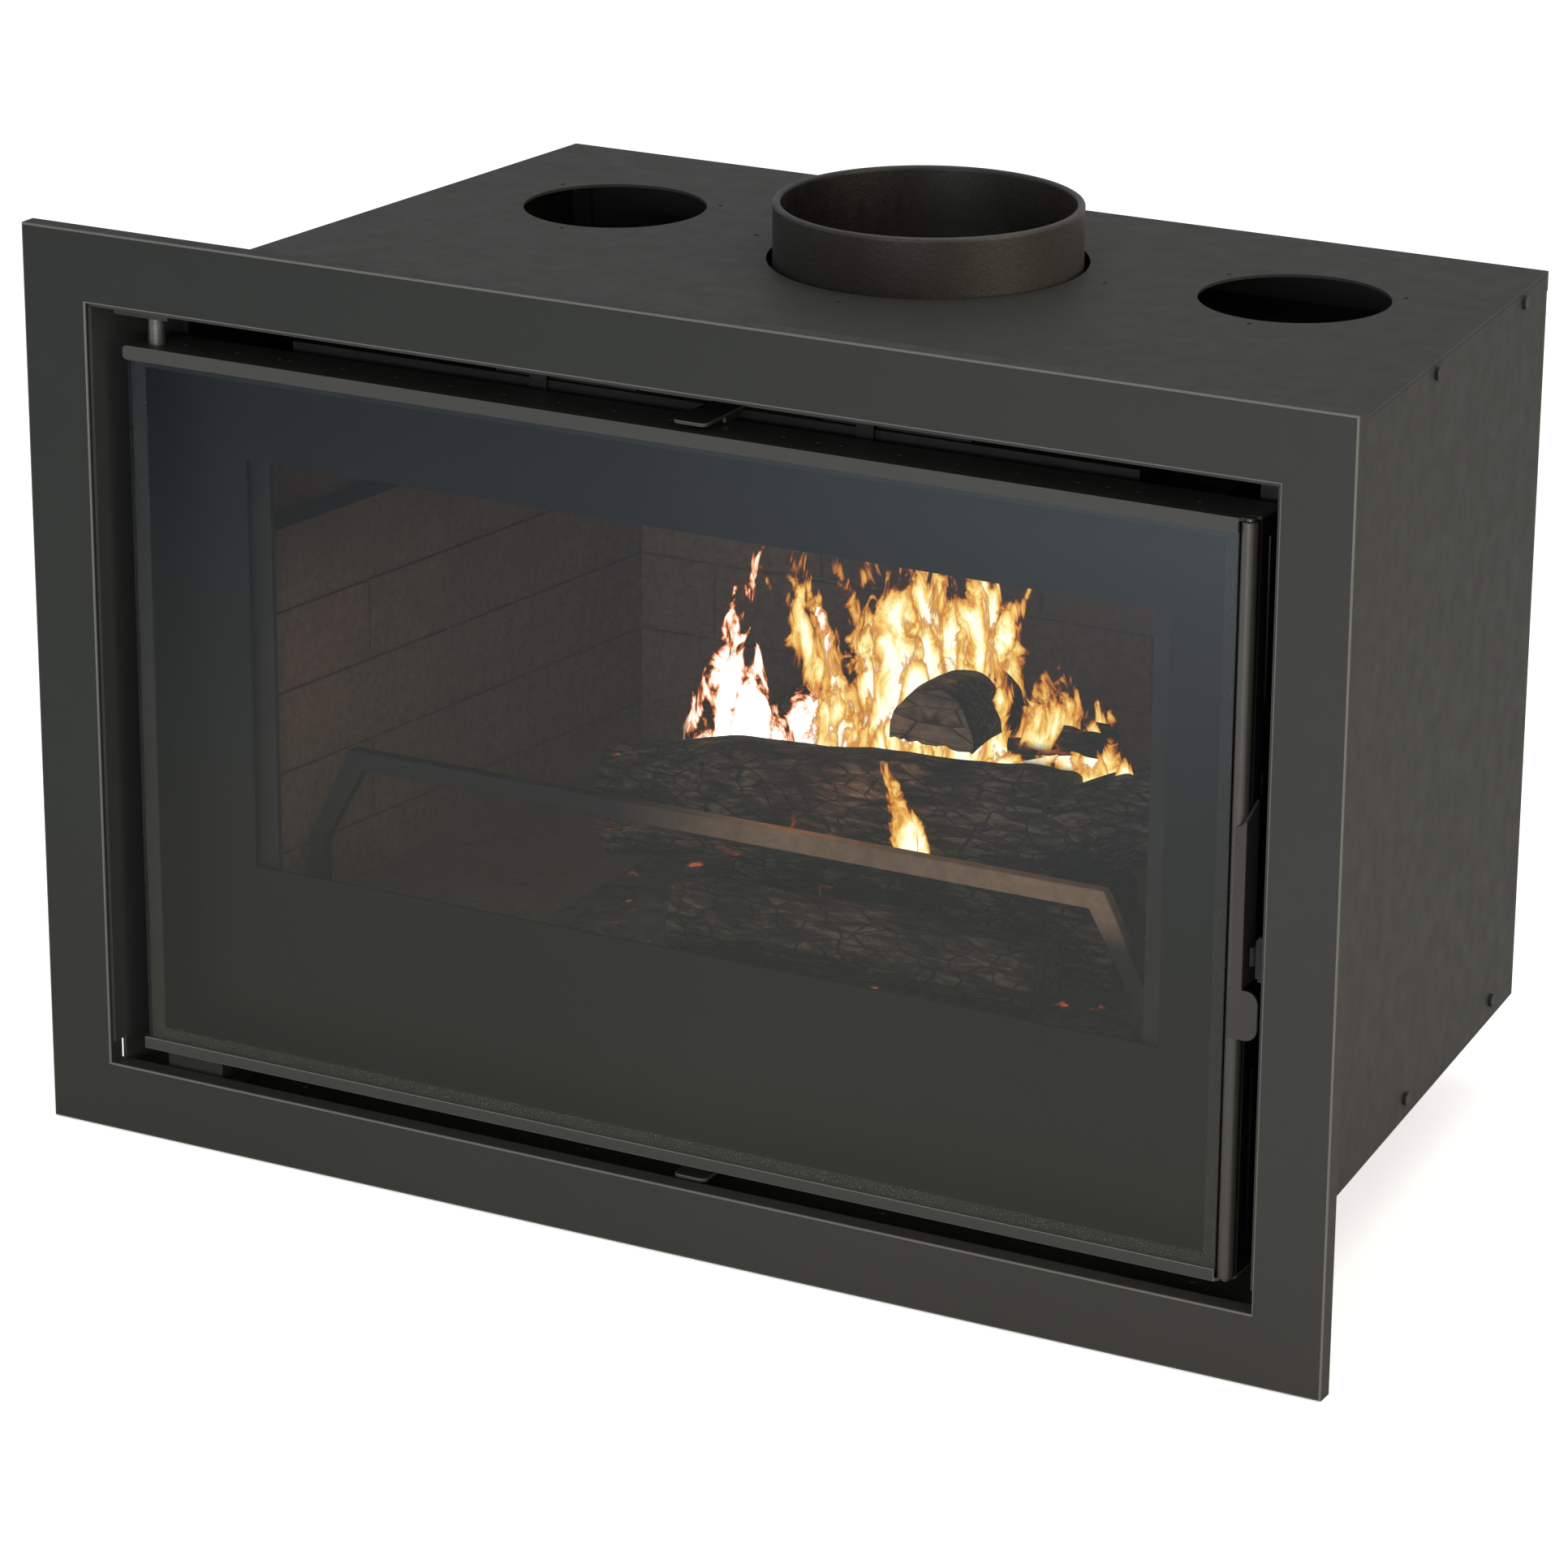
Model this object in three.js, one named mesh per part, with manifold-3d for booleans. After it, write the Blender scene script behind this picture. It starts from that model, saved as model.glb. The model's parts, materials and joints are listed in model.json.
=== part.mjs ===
// A built-in fireplace insert: a welded firebox inside a sheet-metal convection casing,
// with a mitred front frame, one wide glass door hinged on its left edge, a round flue
// collar, two hot-air outlets and two air slides.
//
// Millimetres, +Z up. +X is to the right as seen from the front and +Y goes back into the
// chimney breast. The pieces are drawn with y = 0 in the frame's front plane and z = 0 at
// the casing's underside, and the finished group is moved forward so that its origin is
// the middle of that underside, which holds the insert up. The frame hangs below z = 0.

import * as THREE from 'three';
import { mergeVertices } from 'three/addons/utils/BufferGeometryUtils.js';
import Module from 'manifold-3d';

const wasm = await Module();
wasm.setup();

// ---------------------------------------------------------------- driving dimensions

const CLEAR = 0.3;              // gap between pieces that touch
const RUN = 0.3;                // radial gap round pins and rods

// front frame
const FRAME_WIDTH = 900;
const FRAME_HEIGHT = 600;
const FRAME_RAIL = 46;          // width of each rail, seen from the front
const FRAME_SHEET = 3;
const FRAME_RETURN = 14;        // depth of the outer edge that is folded back
const FRAME_INNER_RETURN = 14;  // depth of the fold round the opening
const FRAME_DROP = 60;          // how far the frame reaches below the casing

// casing
const CASING_DEPTH = 525;       // frame front to casing back
const CASING_SHEET = 2;
const CASING_TAPER = 45;        // each side closes in by this much towards the back
const CASING_FLANGE = 16;       // folded edges that the side screws go into
const COVER_LIP = 13;           // height of the cover's fold over the back panel
const SIDE_SCREW_FRONT = 290;   // depth of the front screws in each side
const SIDE_SCREW_INSET = 51;    // rear screws, from the casing's back
const BACK_SCREW_INSET = 60;
const BASE_SLOT_LENGTH = 44;    // air slots in the base, in three rows
const BASE_SLOT_WIDTH = 6;
const BASE_SLOT_PITCH = 64;
const BASE_ROW_PITCH = 20;
const BASE_SLOT_REAR = 75;      // middle row to the casing's back
const SCREW_R = 2;
const SCREW_HEAD_R = 4.5;
const SCREW_HEAD_T = 2;
const SILL_DROP = 22;           // top of the front sill below the casing base
const SILL_DEPTH = 98;          // back of the sill
const SILL_HOLE_R = 2;
const SILL_HOLES = 4;
const SILL_HOLE_PITCH = 210;
const SILL_HOLE_Y = 42;
const SILL_DRAIN_R = 3.8;       // the one larger hole near the right end
const SILL_DRAIN_INSET = 25;    // from the edge of the frame's opening
const SILL_DRAIN_Y = 20.5;
const BASE_MIDDLE_Y = 310;      // depth of the origin behind the frame front

// openings in the cover
const FLUE_R = 100;             // outside of the collar, for a 200 mm pipe
const FLUE_WALL = 5;
const FLUE_REAR = 165;          // collar's axis to the casing's back
const FLUE_STAND = 38;          // collar above the cover
const FLUE_CUT_GAP = 4;         // cover cut-out round the collar
const FLUE_FLANGE = 18;
const FLUE_FLANGE_T = 6;
const FLUE_HOLE_PITCH_R = 125;
const OUTLET_R = 61;
const OUTLET_X = 245;
const OUTLET_REAR = 141;        // outlet centres to the casing's back
const OUTLET_HOLE_PITCH_R = 70;
const SMALL_HOLE_R = 1.8;

// door
const DOOR_FRONT = 12;          // door front behind the frame front
const DOOR_DEPTH = 38;
const DOOR_SIDE_GAP = 20;       // door to the edges of the frame's opening
const DOOR_BOTTOM_GAP = 10;
const DOOR_TOP_GAP = 27;
const DOOR_SHEET = 2;
const DOOR_BACK_SHEET = 3;
const STRIP_LIP = 9;            // front lip of the top and bottom strips
const GLASS_T = 4;
const GLASS_BITE = 5;           // glass height hidden behind each strip
const WINDOW_SIDE = 66;         // window to the door's edges
const WINDOW_LOWER = 126;
const WINDOW_UPPER = 74;
const STRIP_HOLE_INSET = 38.4;  // end holes from the door's edges
const STRIP_HOLE_PITCH = 38.4;
const HINGE_INSET = 16;         // hinge axis from the door's left edge
const HINGE_Y = 26;
const HINGE_PIN_R = 5.6;
const HINGE_LOWER_PIN_R = 4;
const HINGE_BARREL_R = 7;

// latch rod and handle on the door's right edge
const ROD_R = 5;
const ROD_INSET = 4.7;          // rod axis from the door's right edge
const HANDLE_SHEET = 2.2;
const HANDLE_BOTTOM = 184;
const HANDLE_TOP = 291;
const HANDLE_LEG = 18;          // depth of the side leg
const TAB_HEIGHT = 31;
const TAB_REACH = 18;           // tab to the right of the rod axis
const CAM_Z = 204;
const CAM_REACH = 14;
const CAM_T = 12;
const KEEPER_DEPTH = 30;

// firebox
const BOX_SHEET = 4;
const SIDE_CHAMBER = 66;        // firebox to the edge of the frame's opening, at the front
const BOX_TAPER = 53;
const REAR_CHAMBER = 51;        // firebox to the casing's back
const BOX_BOTTOM = 20;
const UPPER_CHAMBER = 38;       // firebox roof to the top of the frame's opening
const SEAT_RISE = 4;            // front plate above the roof
const ROPE_T = 3;               // squeezed seal between door and firebox
const ROPE_W = 10;
const FIRE_OPEN_SIDE = 33;      // opening to the firebox's edges
const FIRE_OPEN_BOTTOM = 96;
const FIRE_OPEN_UPPER = 56;
const BRICK_T = 25;
const SMOKE_CHAMBER = 112;      // top of the bricks to the firebox roof
const BRICK_COURSE = 54;
const BRICK_LENGTH = 165;
const BRICK_GROOVE = 3;
const HEARTH_T = 3;
const HEARTH_BOTTOM = 64;
const FLOOR_BRICK_T = 23;
const GRATE_HALF_X = 120;
const GRATE_FRONT = 190;
const GRATE_BACK = 340;
const GRATE_T = 12;
const GRATE_SLOTS = 9;
const GRATE_SLOT = 9;
const BAFFLE_FRONT = 185;
const BAFFLE_T = 25;
const PAN_SHEET = 1.5;
const PAN_HEIGHT = 32;
const BAR_SPLAY = 30;           // log retainer: feet outside its bar
const BAR_Z = 188;
const BAR_H = 13;
const BAR_T = 9;
const BAR_Y = 78;
const BAR_FOOT_INSET = 46;      // feet to the firebox's side
const RAIL_X = 190;             // rails that carry the firebox
const RAIL_WIDTH = 38;
const RAIL_FRONT = 112;
const RAIL_REAR = 64;           // rail to the firebox's back

// hot-air grille behind the frame's top rail
const FASCIA_FRONT = 58;
const FASCIA_SHEET = 2;
const RIB_X = 112;
const RIB_W = 12;
const POST_INSET = 37;          // end windows to the edges of the frame's opening

// air slides
const SLIDE_SHEET = 2;
const SLIDE_TAB_LEFT = 6;
const SLIDE_TAB_W = 23;
const SLIDE_PLATE_HALF = 110;
const SLIDE_TRAVEL = 50;        // each way from the middle
const SLIDE_GUIDE_LIP = 5;
const SLIDE_DEPTH = 28;
const AIR_SLOTS = 5;
const AIR_SLOT_W = 14;
const AIR_SLOT_PITCH = 34;
const UPPER_TAB_FRONT = 14;
const UPPER_SLIDE_Y = 66;
const UPPER_DUCT_HALF = 290;
const UPPER_DUCT_RISE = 14.7;   // duct top above the firebox roof
const LOWER_TAB_FRONT = 15;
const LOWER_TAB_Z = -14;
const LOWER_SLIDE_Y = 64;

// ---------------------------------------------------------------- derived places

const openHalf = FRAME_WIDTH / 2 - FRAME_RAIL;
const frameBottom = -FRAME_DROP;
const frameTop = FRAME_HEIGHT - FRAME_DROP;
const openBottom = frameBottom + FRAME_RAIL;
const openTop = frameTop - FRAME_RAIL;

const casingFront = FRAME_SHEET + CLEAR;
const casingHalf = openHalf - CLEAR;
const casingTop = openTop - CLEAR;
const coverBottom = casingTop - CASING_SHEET;
const sideTop = coverBottom - CLEAR;
const backFront = CASING_DEPTH - CASING_SHEET;
const sideBack = backFront - CLEAR;

const sideScrewRear = CASING_DEPTH - SIDE_SCREW_INSET;
const flueY = CASING_DEPTH - FLUE_REAR;
const outletY = CASING_DEPTH - OUTLET_REAR;

const doorHalf = openHalf - DOOR_SIDE_GAP;
const doorBottom = openBottom + DOOR_BOTTOM_GAP;
const doorTop = openTop - DOOR_TOP_GAP;
const windowHalf = doorHalf - WINDOW_SIDE;
const windowBottom = doorBottom + WINDOW_LOWER;
const windowTop = doorTop - WINDOW_UPPER;
const stripHoleCount = 2 * Math.round((doorHalf - STRIP_HOLE_INSET) / STRIP_HOLE_PITCH) + 1;
const doorBack = DOOR_FRONT + DOOR_DEPTH;
const ropeFront = doorBack + CLEAR;
const seatFront = ropeFront + ROPE_T + CLEAR;
const seatBack = seatFront + BOX_SHEET;
const boxFront = seatBack + CLEAR;
const hingeX = -doorHalf + HINGE_INSET;
const rodX = doorHalf - ROD_INSET;
const rodY = DOOR_FRONT + CLEAR + ROD_R;
const glassFront = DOOR_FRONT + DOOR_SHEET + CLEAR;
const glassBack = glassFront + GLASS_T;
const stripRight = rodX - ROD_R - CLEAR;
const floorTop = HEARTH_BOTTOM + HEARTH_T + CLEAR + FLOOR_BRICK_T;

const boxHalf = openHalf - SIDE_CHAMBER;
const boxBack = CASING_DEPTH - REAR_CHAMBER;
const boxTop = openTop - UPPER_CHAMBER;
const seatTop = boxTop + SEAT_RISE;
const fireOpenHalf = boxHalf - FIRE_OPEN_SIDE;
const fireOpenTop = boxTop - FIRE_OPEN_UPPER;
const brickTop = boxTop - SMOKE_CHAMBER;
const ductTop = boxTop + UPPER_DUCT_RISE;
const barFootHalf = boxHalf - BAR_FOOT_INSET;
const barHalf = barFootHalf - BAR_SPLAY;

// half width of the casing's outside at a depth, and of the firebox's outside
const casingSlope = CASING_TAPER / (CASING_DEPTH - FRAME_INNER_RETURN);
const casingHalfAt = (y) => casingHalf - casingSlope * Math.max(0, y - FRAME_INNER_RETURN);
const boxSlope = BOX_TAPER / (boxBack - boxFront);
const boxHalfAt = (y) => boxHalf - boxSlope * (y - boxFront);

// ---------------------------------------------------------------- materials

const steel = (color, roughness, metalness = 0.35) =>
  new THREE.MeshStandardMaterial({ color, roughness, metalness });
const anthracite = steel(0x3a3c3b, 0.62);
const casingGrey = steel(0x464741, 0.66);
const darkSteel = steel(0x232423, 0.7);
const castIron = steel(0x2b2a28, 0.8);
const collarIron = steel(0x5a5046, 0.7);
const zinc = steel(0x8b8d8c, 0.45, 0.8);
const vermiculite = new THREE.MeshStandardMaterial({ color: 0x8b7d6b, roughness: 0.95 });
const rope = new THREE.MeshStandardMaterial({ color: 0x2d2c2a, roughness: 1 });
const glass = new THREE.MeshStandardMaterial({
  color: 0x15181a, roughness: 0.08, transparent: true, opacity: 0.35,
});

// ---------------------------------------------------------------- solid helpers

function toSolid(geometry) {
  const bare = geometry.clone();
  bare.deleteAttribute('normal');
  bare.deleteAttribute('uv');
  const merged = mergeVertices(bare, 1e-4);
  return new wasm.Manifold(new wasm.Mesh({
    numProp: 3,
    vertProperties: Float32Array.from(merged.attributes.position.array),
    triVerts: Uint32Array.from(merged.index.array),
  }));
}

function toGeometry(solid) {
  const mesh = solid.getMesh();
  const geometry = new THREE.BufferGeometry();
  geometry.setAttribute('position', new THREE.BufferAttribute(Float32Array.from(mesh.vertProperties), 3));
  geometry.setIndex(new THREE.BufferAttribute(Uint32Array.from(mesh.triVerts), 1));
  geometry.computeVertexNormals();
  return geometry;
}

function join(...geometries) {
  return toGeometry(geometries.map(toSolid).reduce((sum, solid) => sum.add(solid)));
}

function cut(body, ...tools) {
  return toGeometry(tools.map(toSolid).reduce((rest, tool) => rest.subtract(tool), toSolid(body)));
}

function common(first, second) {
  return toGeometry(toSolid(first).intersect(toSolid(second)));
}

function box(x0, x1, y0, y1, z0, z1) {
  const geometry = new THREE.BoxGeometry(x1 - x0, y1 - y0, z1 - z0);
  return geometry.translate((x0 + x1) / 2, (y0 + y1) / 2, (z0 + z1) / 2);
}

function outline(points) {
  const shape = new THREE.Shape();
  points.forEach(([u, v], i) => (i === 0 ? shape.moveTo(u, v) : shape.lineTo(u, v)));
  shape.closePath();
  return shape;
}

function rectangle(u0, u1, v0, v1) {
  return outline([[u0, v0], [u1, v0], [u1, v1], [u0, v1]]);
}

function extrude(shape, depth, curveSegments = 6) {
  return new THREE.ExtrudeGeometry(shape, { depth, bevelEnabled: false, curveSegments });
}

// shape drawn in x, y and raised from z0 to z1
function plan(shape, z0, z1, curveSegments) {
  return extrude(shape, z1 - z0, curveSegments).translate(0, 0, z0);
}

// shape drawn in x, z and taken from y0 back to y1
function front(shape, y0, y1, curveSegments) {
  return extrude(shape, y1 - y0, curveSegments).rotateX(Math.PI / 2).translate(0, y1, 0);
}

// shape drawn in y, z and taken from x0 to x1
function side(shape, x0, x1, curveSegments) {
  const turn = new THREE.Matrix4().makeBasis(
    new THREE.Vector3(0, 1, 0), new THREE.Vector3(0, 0, 1), new THREE.Vector3(1, 0, 0));
  return extrude(shape, x1 - x0, curveSegments).applyMatrix4(turn).translate(x0, 0, 0);
}

function upright(x, y, r, z0, z1, segments = 24) {
  const geometry = new THREE.CylinderGeometry(r, r, z1 - z0, segments).rotateX(Math.PI / 2);
  return geometry.translate(x, y, (z0 + z1) / 2);
}

function crosswise(y, z, r, x0, x1, segments = 12) {
  const geometry = new THREE.CylinderGeometry(r, r, x1 - x0, segments).rotateZ(Math.PI / 2);
  return geometry.translate((x0 + x1) / 2, y, z);
}

function lengthwise(x, z, r, y0, y1, segments = 12) {
  return new THREE.CylinderGeometry(r, r, y1 - y0, segments).translate(x, (y0 + y1) / 2, z);
}

function mirrored(points) {
  return [...points, ...points.map(([u, v]) => [-u, v]).reverse()];
}

function spread(count, pitch, middle = 0) {
  return Array.from({ length: count }, (_, i) => middle + (i - (count - 1) / 2) * pitch);
}

const insert = new THREE.Group();
insert.name = 'fireplace_insert';

function add(name, geometry, material) {
  const mesh = new THREE.Mesh(geometry, material);
  mesh.name = name;
  insert.add(mesh);
}

// ---------------------------------------------------------------- front frame

function frameRing() {
  const half = FRAME_WIDTH / 2;
  const face = rectangle(-half, half, frameBottom, frameTop);
  face.holes.push(rectangle(-openHalf, openHalf, openBottom, openTop));
  const edge = rectangle(-half, half, frameBottom, frameTop);
  const t = FRAME_SHEET;
  edge.holes.push(rectangle(-half + t, half - t, frameBottom + t, frameTop - t));
  const fold = rectangle(-openHalf - t, openHalf + t, openBottom - t, openTop + t);
  fold.holes.push(rectangle(-openHalf, openHalf, openBottom, openTop));
  return join(
    front(face, 0, t),
    front(edge, t / 2, FRAME_RETURN),
    front(fold, t / 2, FRAME_INNER_RETURN));
}

function frameRails() {
  const ring = frameRing();
  const half = FRAME_WIDTH / 2;
  const reach = FRAME_RAIL + FRAME_SHEET + 20;
  const past = 10;
  const shift = CLEAR / Math.SQRT2;
  const wedges = {
    frame_top_rail: mirrored([
      [half + past - shift, frameTop + past], [half - reach - shift, frameTop - reach]]),
    frame_bottom_rail: mirrored([
      [half + past - shift, frameBottom - past], [half - reach - shift, frameBottom + reach]]),
    frame_right_rail: [
      [half + past, frameBottom - past + shift], [half + past, frameTop + past - shift],
      [half - reach, frameTop - reach - shift], [half - reach, frameBottom + reach + shift]],
    frame_left_rail: [
      [-half - past, frameBottom - past + shift], [-half - past, frameTop + past - shift],
      [-half + reach, frameTop - reach - shift], [-half + reach, frameBottom + reach + shift]],
  };
  for (const [name, points] of Object.entries(wedges)) {
    const wedge = front(outline(points), -past, FRAME_INNER_RETURN + past);
    add(name, common(ring, wedge), anthracite);
  }
}

// ---------------------------------------------------------------- casing

// plan of the casing between two depths, moved inwards by an inset
function casingPlan(y0, y1, inset = 0) {
  const neck = y0 < FRAME_INNER_RETURN ? [[casingHalfAt(y0) - inset, FRAME_INNER_RETURN]] : [];
  const points = [[casingHalfAt(y0) - inset, y0], ...neck, [casingHalfAt(y1) - inset, y1]];
  return outline(mirrored(points));
}

const sideScrewY = [SIDE_SCREW_FRONT, sideScrewRear];
const sideScrewZ = [CASING_FLANGE - 2, coverBottom - CASING_FLANGE / 2 + 2];
const backScrewZ = [BACK_SCREW_INSET, casingTop / 2, casingTop - BACK_SCREW_INSET];

function sideScrewHoles() {
  const holes = [];
  for (const y of sideScrewY) {
    for (const z of sideScrewZ) {
      const x = casingHalfAt(y);
      holes.push(crosswise(y, z, SCREW_R + RUN, x - 12, x + 6));
      holes.push(crosswise(y, z, SCREW_R + RUN, -x - 6, -x + 12));
    }
  }
  return holes;
}

function casingSide(sign) {
  const t = CASING_SHEET;
  const rear = casingHalfAt(sideBack);
  const points = [
    [casingHalf, casingFront], [casingHalf, FRAME_INNER_RETURN], [rear, sideBack],
    [rear - CASING_FLANGE, sideBack], [rear - CASING_FLANGE, sideBack - t], [rear - t, sideBack - t],
    [casingHalf - t, FRAME_INNER_RETURN], [casingHalf - t, casingFront],
  ].map(([x, y]) => [sign * x, y]);
  const panel = plan(outline(points), 0, sideTop);
  const screwX = sign * (rear - CASING_FLANGE / 2);
  const backHoles = backScrewZ.map((z) => lengthwise(screwX, z, SCREW_R + RUN, sideBack - 6, sideBack + 6));
  return cut(panel, ...sideScrewHoles(), ...backHoles);
}

// a flange that follows the inside of a side panel
function sideFlange(sign, y0, y1, z0, z1) {
  const t = CASING_SHEET;
  const outer = (y) => casingHalfAt(y) - t - CLEAR;
  const points = [[outer(y0), y0], [outer(y1), y1], [outer(y1) - t, y1], [outer(y0) - t, y0]];
  return plan(outline(points.map(([x, y]) => [sign * x, y])), z0, z1);
}

const flangeBack = sideBack - CASING_SHEET - CLEAR;

function casingCover() {
  const t = CASING_SHEET;
  const lipBack = CASING_DEPTH + CLEAR + t;
  const plate = plan(casingPlan(casingFront, lipBack), coverBottom, casingTop);
  const lipHalf = casingHalfAt(lipBack);
  const lip = box(-lipHalf, lipHalf, lipBack - t, lipBack, casingTop - COVER_LIP, casingTop);
  const low = coverBottom - CASING_FLANGE;
  const flanges = [1, -1].map((s) => sideFlange(s, FASCIA_FRONT + 10, flangeBack, low, coverBottom + 1));
  const z0 = coverBottom - 5;
  const z1 = casingTop + 5;
  const holes = [upright(0, flueY, FLUE_R + FLUE_CUT_GAP, z0, z1, 64)];
  for (const angle of [0, 90, 180, 270]) {
    const a = THREE.MathUtils.degToRad(angle);
    const x = FLUE_HOLE_PITCH_R * Math.cos(a);
    const y = flueY + FLUE_HOLE_PITCH_R * Math.sin(a);
    holes.push(upright(x, y, SMALL_HOLE_R, z0, z1, 8));
  }
  for (const cx of [-OUTLET_X, OUTLET_X]) {
    holes.push(upright(cx, outletY, OUTLET_R, z0, z1, 48));
    for (const angle of [30, 150, 270]) {
      const a = THREE.MathUtils.degToRad(angle);
      const x = cx + OUTLET_HOLE_PITCH_R * Math.cos(a);
      const y = outletY + OUTLET_HOLE_PITCH_R * Math.sin(a);
      holes.push(upright(x, y, SMALL_HOLE_R, z0, z1, 8));
    }
  }
  return cut(join(plate, lip, ...flanges), ...holes, ...sideScrewHoles());
}

const baseFront = SILL_DEPTH + CLEAR;

function casingBase() {
  const t = CASING_SHEET;
  const plate = plan(casingPlan(baseFront, flangeBack, 1.5 * t + CLEAR), 0, t);
  const flanges = [1, -1].map((s) => sideFlange(s, baseFront, flangeBack, 0, CASING_FLANGE + 4));
  const along = BASE_SLOT_LENGTH / 2;
  const across = BASE_SLOT_WIDTH / 2;
  const slots = [];
  for (const y of spread(3, BASE_ROW_PITCH, CASING_DEPTH - BASE_SLOT_REAR)) {
    for (const x of spread(7, BASE_SLOT_PITCH)) {
      slots.push(box(x - along, x + along, y - across, y + across, -5, t + 5));
    }
  }
  return cut(join(plate, ...flanges), ...slots, ...sideScrewHoles());
}

function casingBack() {
  const half = casingHalfAt(sideBack);
  const panel = box(-half, half, backFront, CASING_DEPTH, 0, sideTop);
  const rear = half - CASING_FLANGE / 2;
  const holes = [rear, -rear].flatMap((x) =>
    backScrewZ.map((z) => lengthwise(x, z, SCREW_R + RUN, backFront - 5, CASING_DEPTH + 5)));
  return cut(panel, ...holes);
}

// one screw of the right-hand side, or its mirror on the left
function sideScrew(sign, y, z) {
  const face = casingHalfAt(y - SCREW_HEAD_R) + CLEAR;
  const screw = join(
    crosswise(y, z, SCREW_R, face - 8, face + 1, 8),
    crosswise(y, z, SCREW_HEAD_R, face, face + SCREW_HEAD_T, 12));
  return sign > 0 ? screw : screw.rotateZ(Math.PI).translate(0, 2 * y, 0);
}

function frontSill() {
  const t = CASING_SHEET;
  const top = -SILL_DROP;
  const tray = plan(casingPlan(casingFront, SILL_DEPTH), top - t, top);
  const lip = box(-casingHalf, casingHalf, casingFront, casingFront + t, top - t, openBottom - FRAME_SHEET - CLEAR);
  const rise = (s) => {
    const y0 = FRAME_INNER_RETURN + CLEAR;
    const outer = (y) => casingHalfAt(y);
    const points = [
      [outer(y0), y0], [outer(SILL_DEPTH), SILL_DEPTH],
      [outer(SILL_DEPTH) - t, SILL_DEPTH], [outer(y0) - t, y0]];
    return plan(outline(points.map(([x, y]) => [s * x, y])), top - t, -CLEAR);
  };
  const rearHalf = casingHalfAt(SILL_DEPTH) - t / 2;
  const upstand = box(-rearHalf, rearHalf, SILL_DEPTH - t, SILL_DEPTH, top - t, -CLEAR);
  const inner = casingHalfAt(SILL_DEPTH) - t - CLEAR;
  const tongue = box(-inner, inner, SILL_DEPTH - t, SILL_DEPTH, -CLEAR - 1, CASING_SHEET);
  const holes = spread(SILL_HOLES, SILL_HOLE_PITCH, 33)
    .map((x) => upright(x, SILL_HOLE_Y, SILL_HOLE_R, top - 5, top + 5, 8));
  holes.push(upright(openHalf - SILL_DRAIN_INSET, SILL_DRAIN_Y, SILL_DRAIN_R, top - 5, top + 5, 20));
  return cut(join(tray, lip, rise(1), rise(-1), upstand, tongue), ...holes);
}

function hotAirFascia() {
  const half = casingHalfAt(FASCIA_FRONT + FASCIA_SHEET) - CASING_SHEET - CLEAR;
  const bottom = boxTop + CLEAR;
  const back = FASCIA_FRONT + FASCIA_SHEET;
  const low = ductTop - 12;
  const high = sideTop + 5;
  const inner = RIB_X - RIB_W / 2;
  const outer = RIB_X + RIB_W / 2;
  const post = openHalf - POST_INSET;
  const windows = [[-post, -outer], [-inner, inner], [outer, post]]
    .map(([x0, x1]) => box(x0, x1, FASCIA_FRONT - 5, back + 5, low, high));
  return cut(box(-half, half, FASCIA_FRONT, back, bottom, sideTop), ...windows);
}

// ---------------------------------------------------------------- flue collar

function flueCollar() {
  const r0 = FLUE_R - FLUE_WALL;
  const z0 = boxTop + CLEAR;
  const z1 = casingTop + FLUE_STAND;
  const e = FLUE_WALL / 4;
  const profile = [
    [r0, z0], [FLUE_R + FLUE_FLANGE, z0], [FLUE_R + FLUE_FLANGE, z0 + FLUE_FLANGE_T],
    [FLUE_R, z0 + FLUE_FLANGE_T], [FLUE_R, z1 - e], [FLUE_R - e, z1], [r0 + e, z1], [r0, z1 - e], [r0, z0],
  ].map(([r, z]) => new THREE.Vector2(r, z));
  return new THREE.LatheGeometry(profile, 64).rotateX(Math.PI / 2).translate(0, flueY, 0);
}

// ---------------------------------------------------------------- firebox

// plan of the firebox between two depths, moved inwards by an inset
function boxPlan(y0, y1, inset = 0) {
  return outline(mirrored([[boxHalfAt(y0) - inset, y0], [boxHalfAt(y1) - inset, y1]]));
}

// upright slab along a firebox side wall, from one inset to another
function boxSlab(sign, y0, y1, inset0, inset1, z0, z1) {
  const points = [
    [boxHalfAt(y0) - inset0, y0], [boxHalfAt(y1) - inset0, y1],
    [boxHalfAt(y1) - inset1, y1], [boxHalfAt(y0) - inset1, y0]];
  return plan(outline(points.map(([x, y]) => [sign * x, y])), z0, z1);
}

const wallBottom = BOX_BOTTOM + BOX_SHEET + CLEAR;
const wallTop = boxTop - BOX_SHEET - CLEAR;
const backWallFront = boxBack - BOX_SHEET;
const sideWallBack = backWallFront - CLEAR;
const brickBackY = backWallFront - CLEAR - BRICK_T;
const lining = BOX_SHEET + CLEAR;

function fireboxFront() {
  const shape = rectangle(-boxHalf, boxHalf, BOX_BOTTOM, seatTop);
  shape.holes.push(rectangle(-fireOpenHalf, fireOpenHalf, FIRE_OPEN_BOTTOM, fireOpenTop));
  return front(shape, seatFront, seatBack);
}

function airSlots(middleX, y, z) {
  const half = SLIDE_DEPTH / 2 - 7;
  return spread(AIR_SLOTS, AIR_SLOT_PITCH, middleX)
    .map((x) => plan(rectangle(x - AIR_SLOT_W / 2, x + AIR_SLOT_W / 2, y - half, y + half), z - 4, z + 4));
}

const upperSlideMiddle = UPPER_SLIDE_Y + SLIDE_DEPTH / 2;
const lowerSlideMiddle = LOWER_SLIDE_Y + SLIDE_DEPTH / 2;
const tabMiddle = SLIDE_TAB_LEFT + SLIDE_TAB_W / 2;

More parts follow.
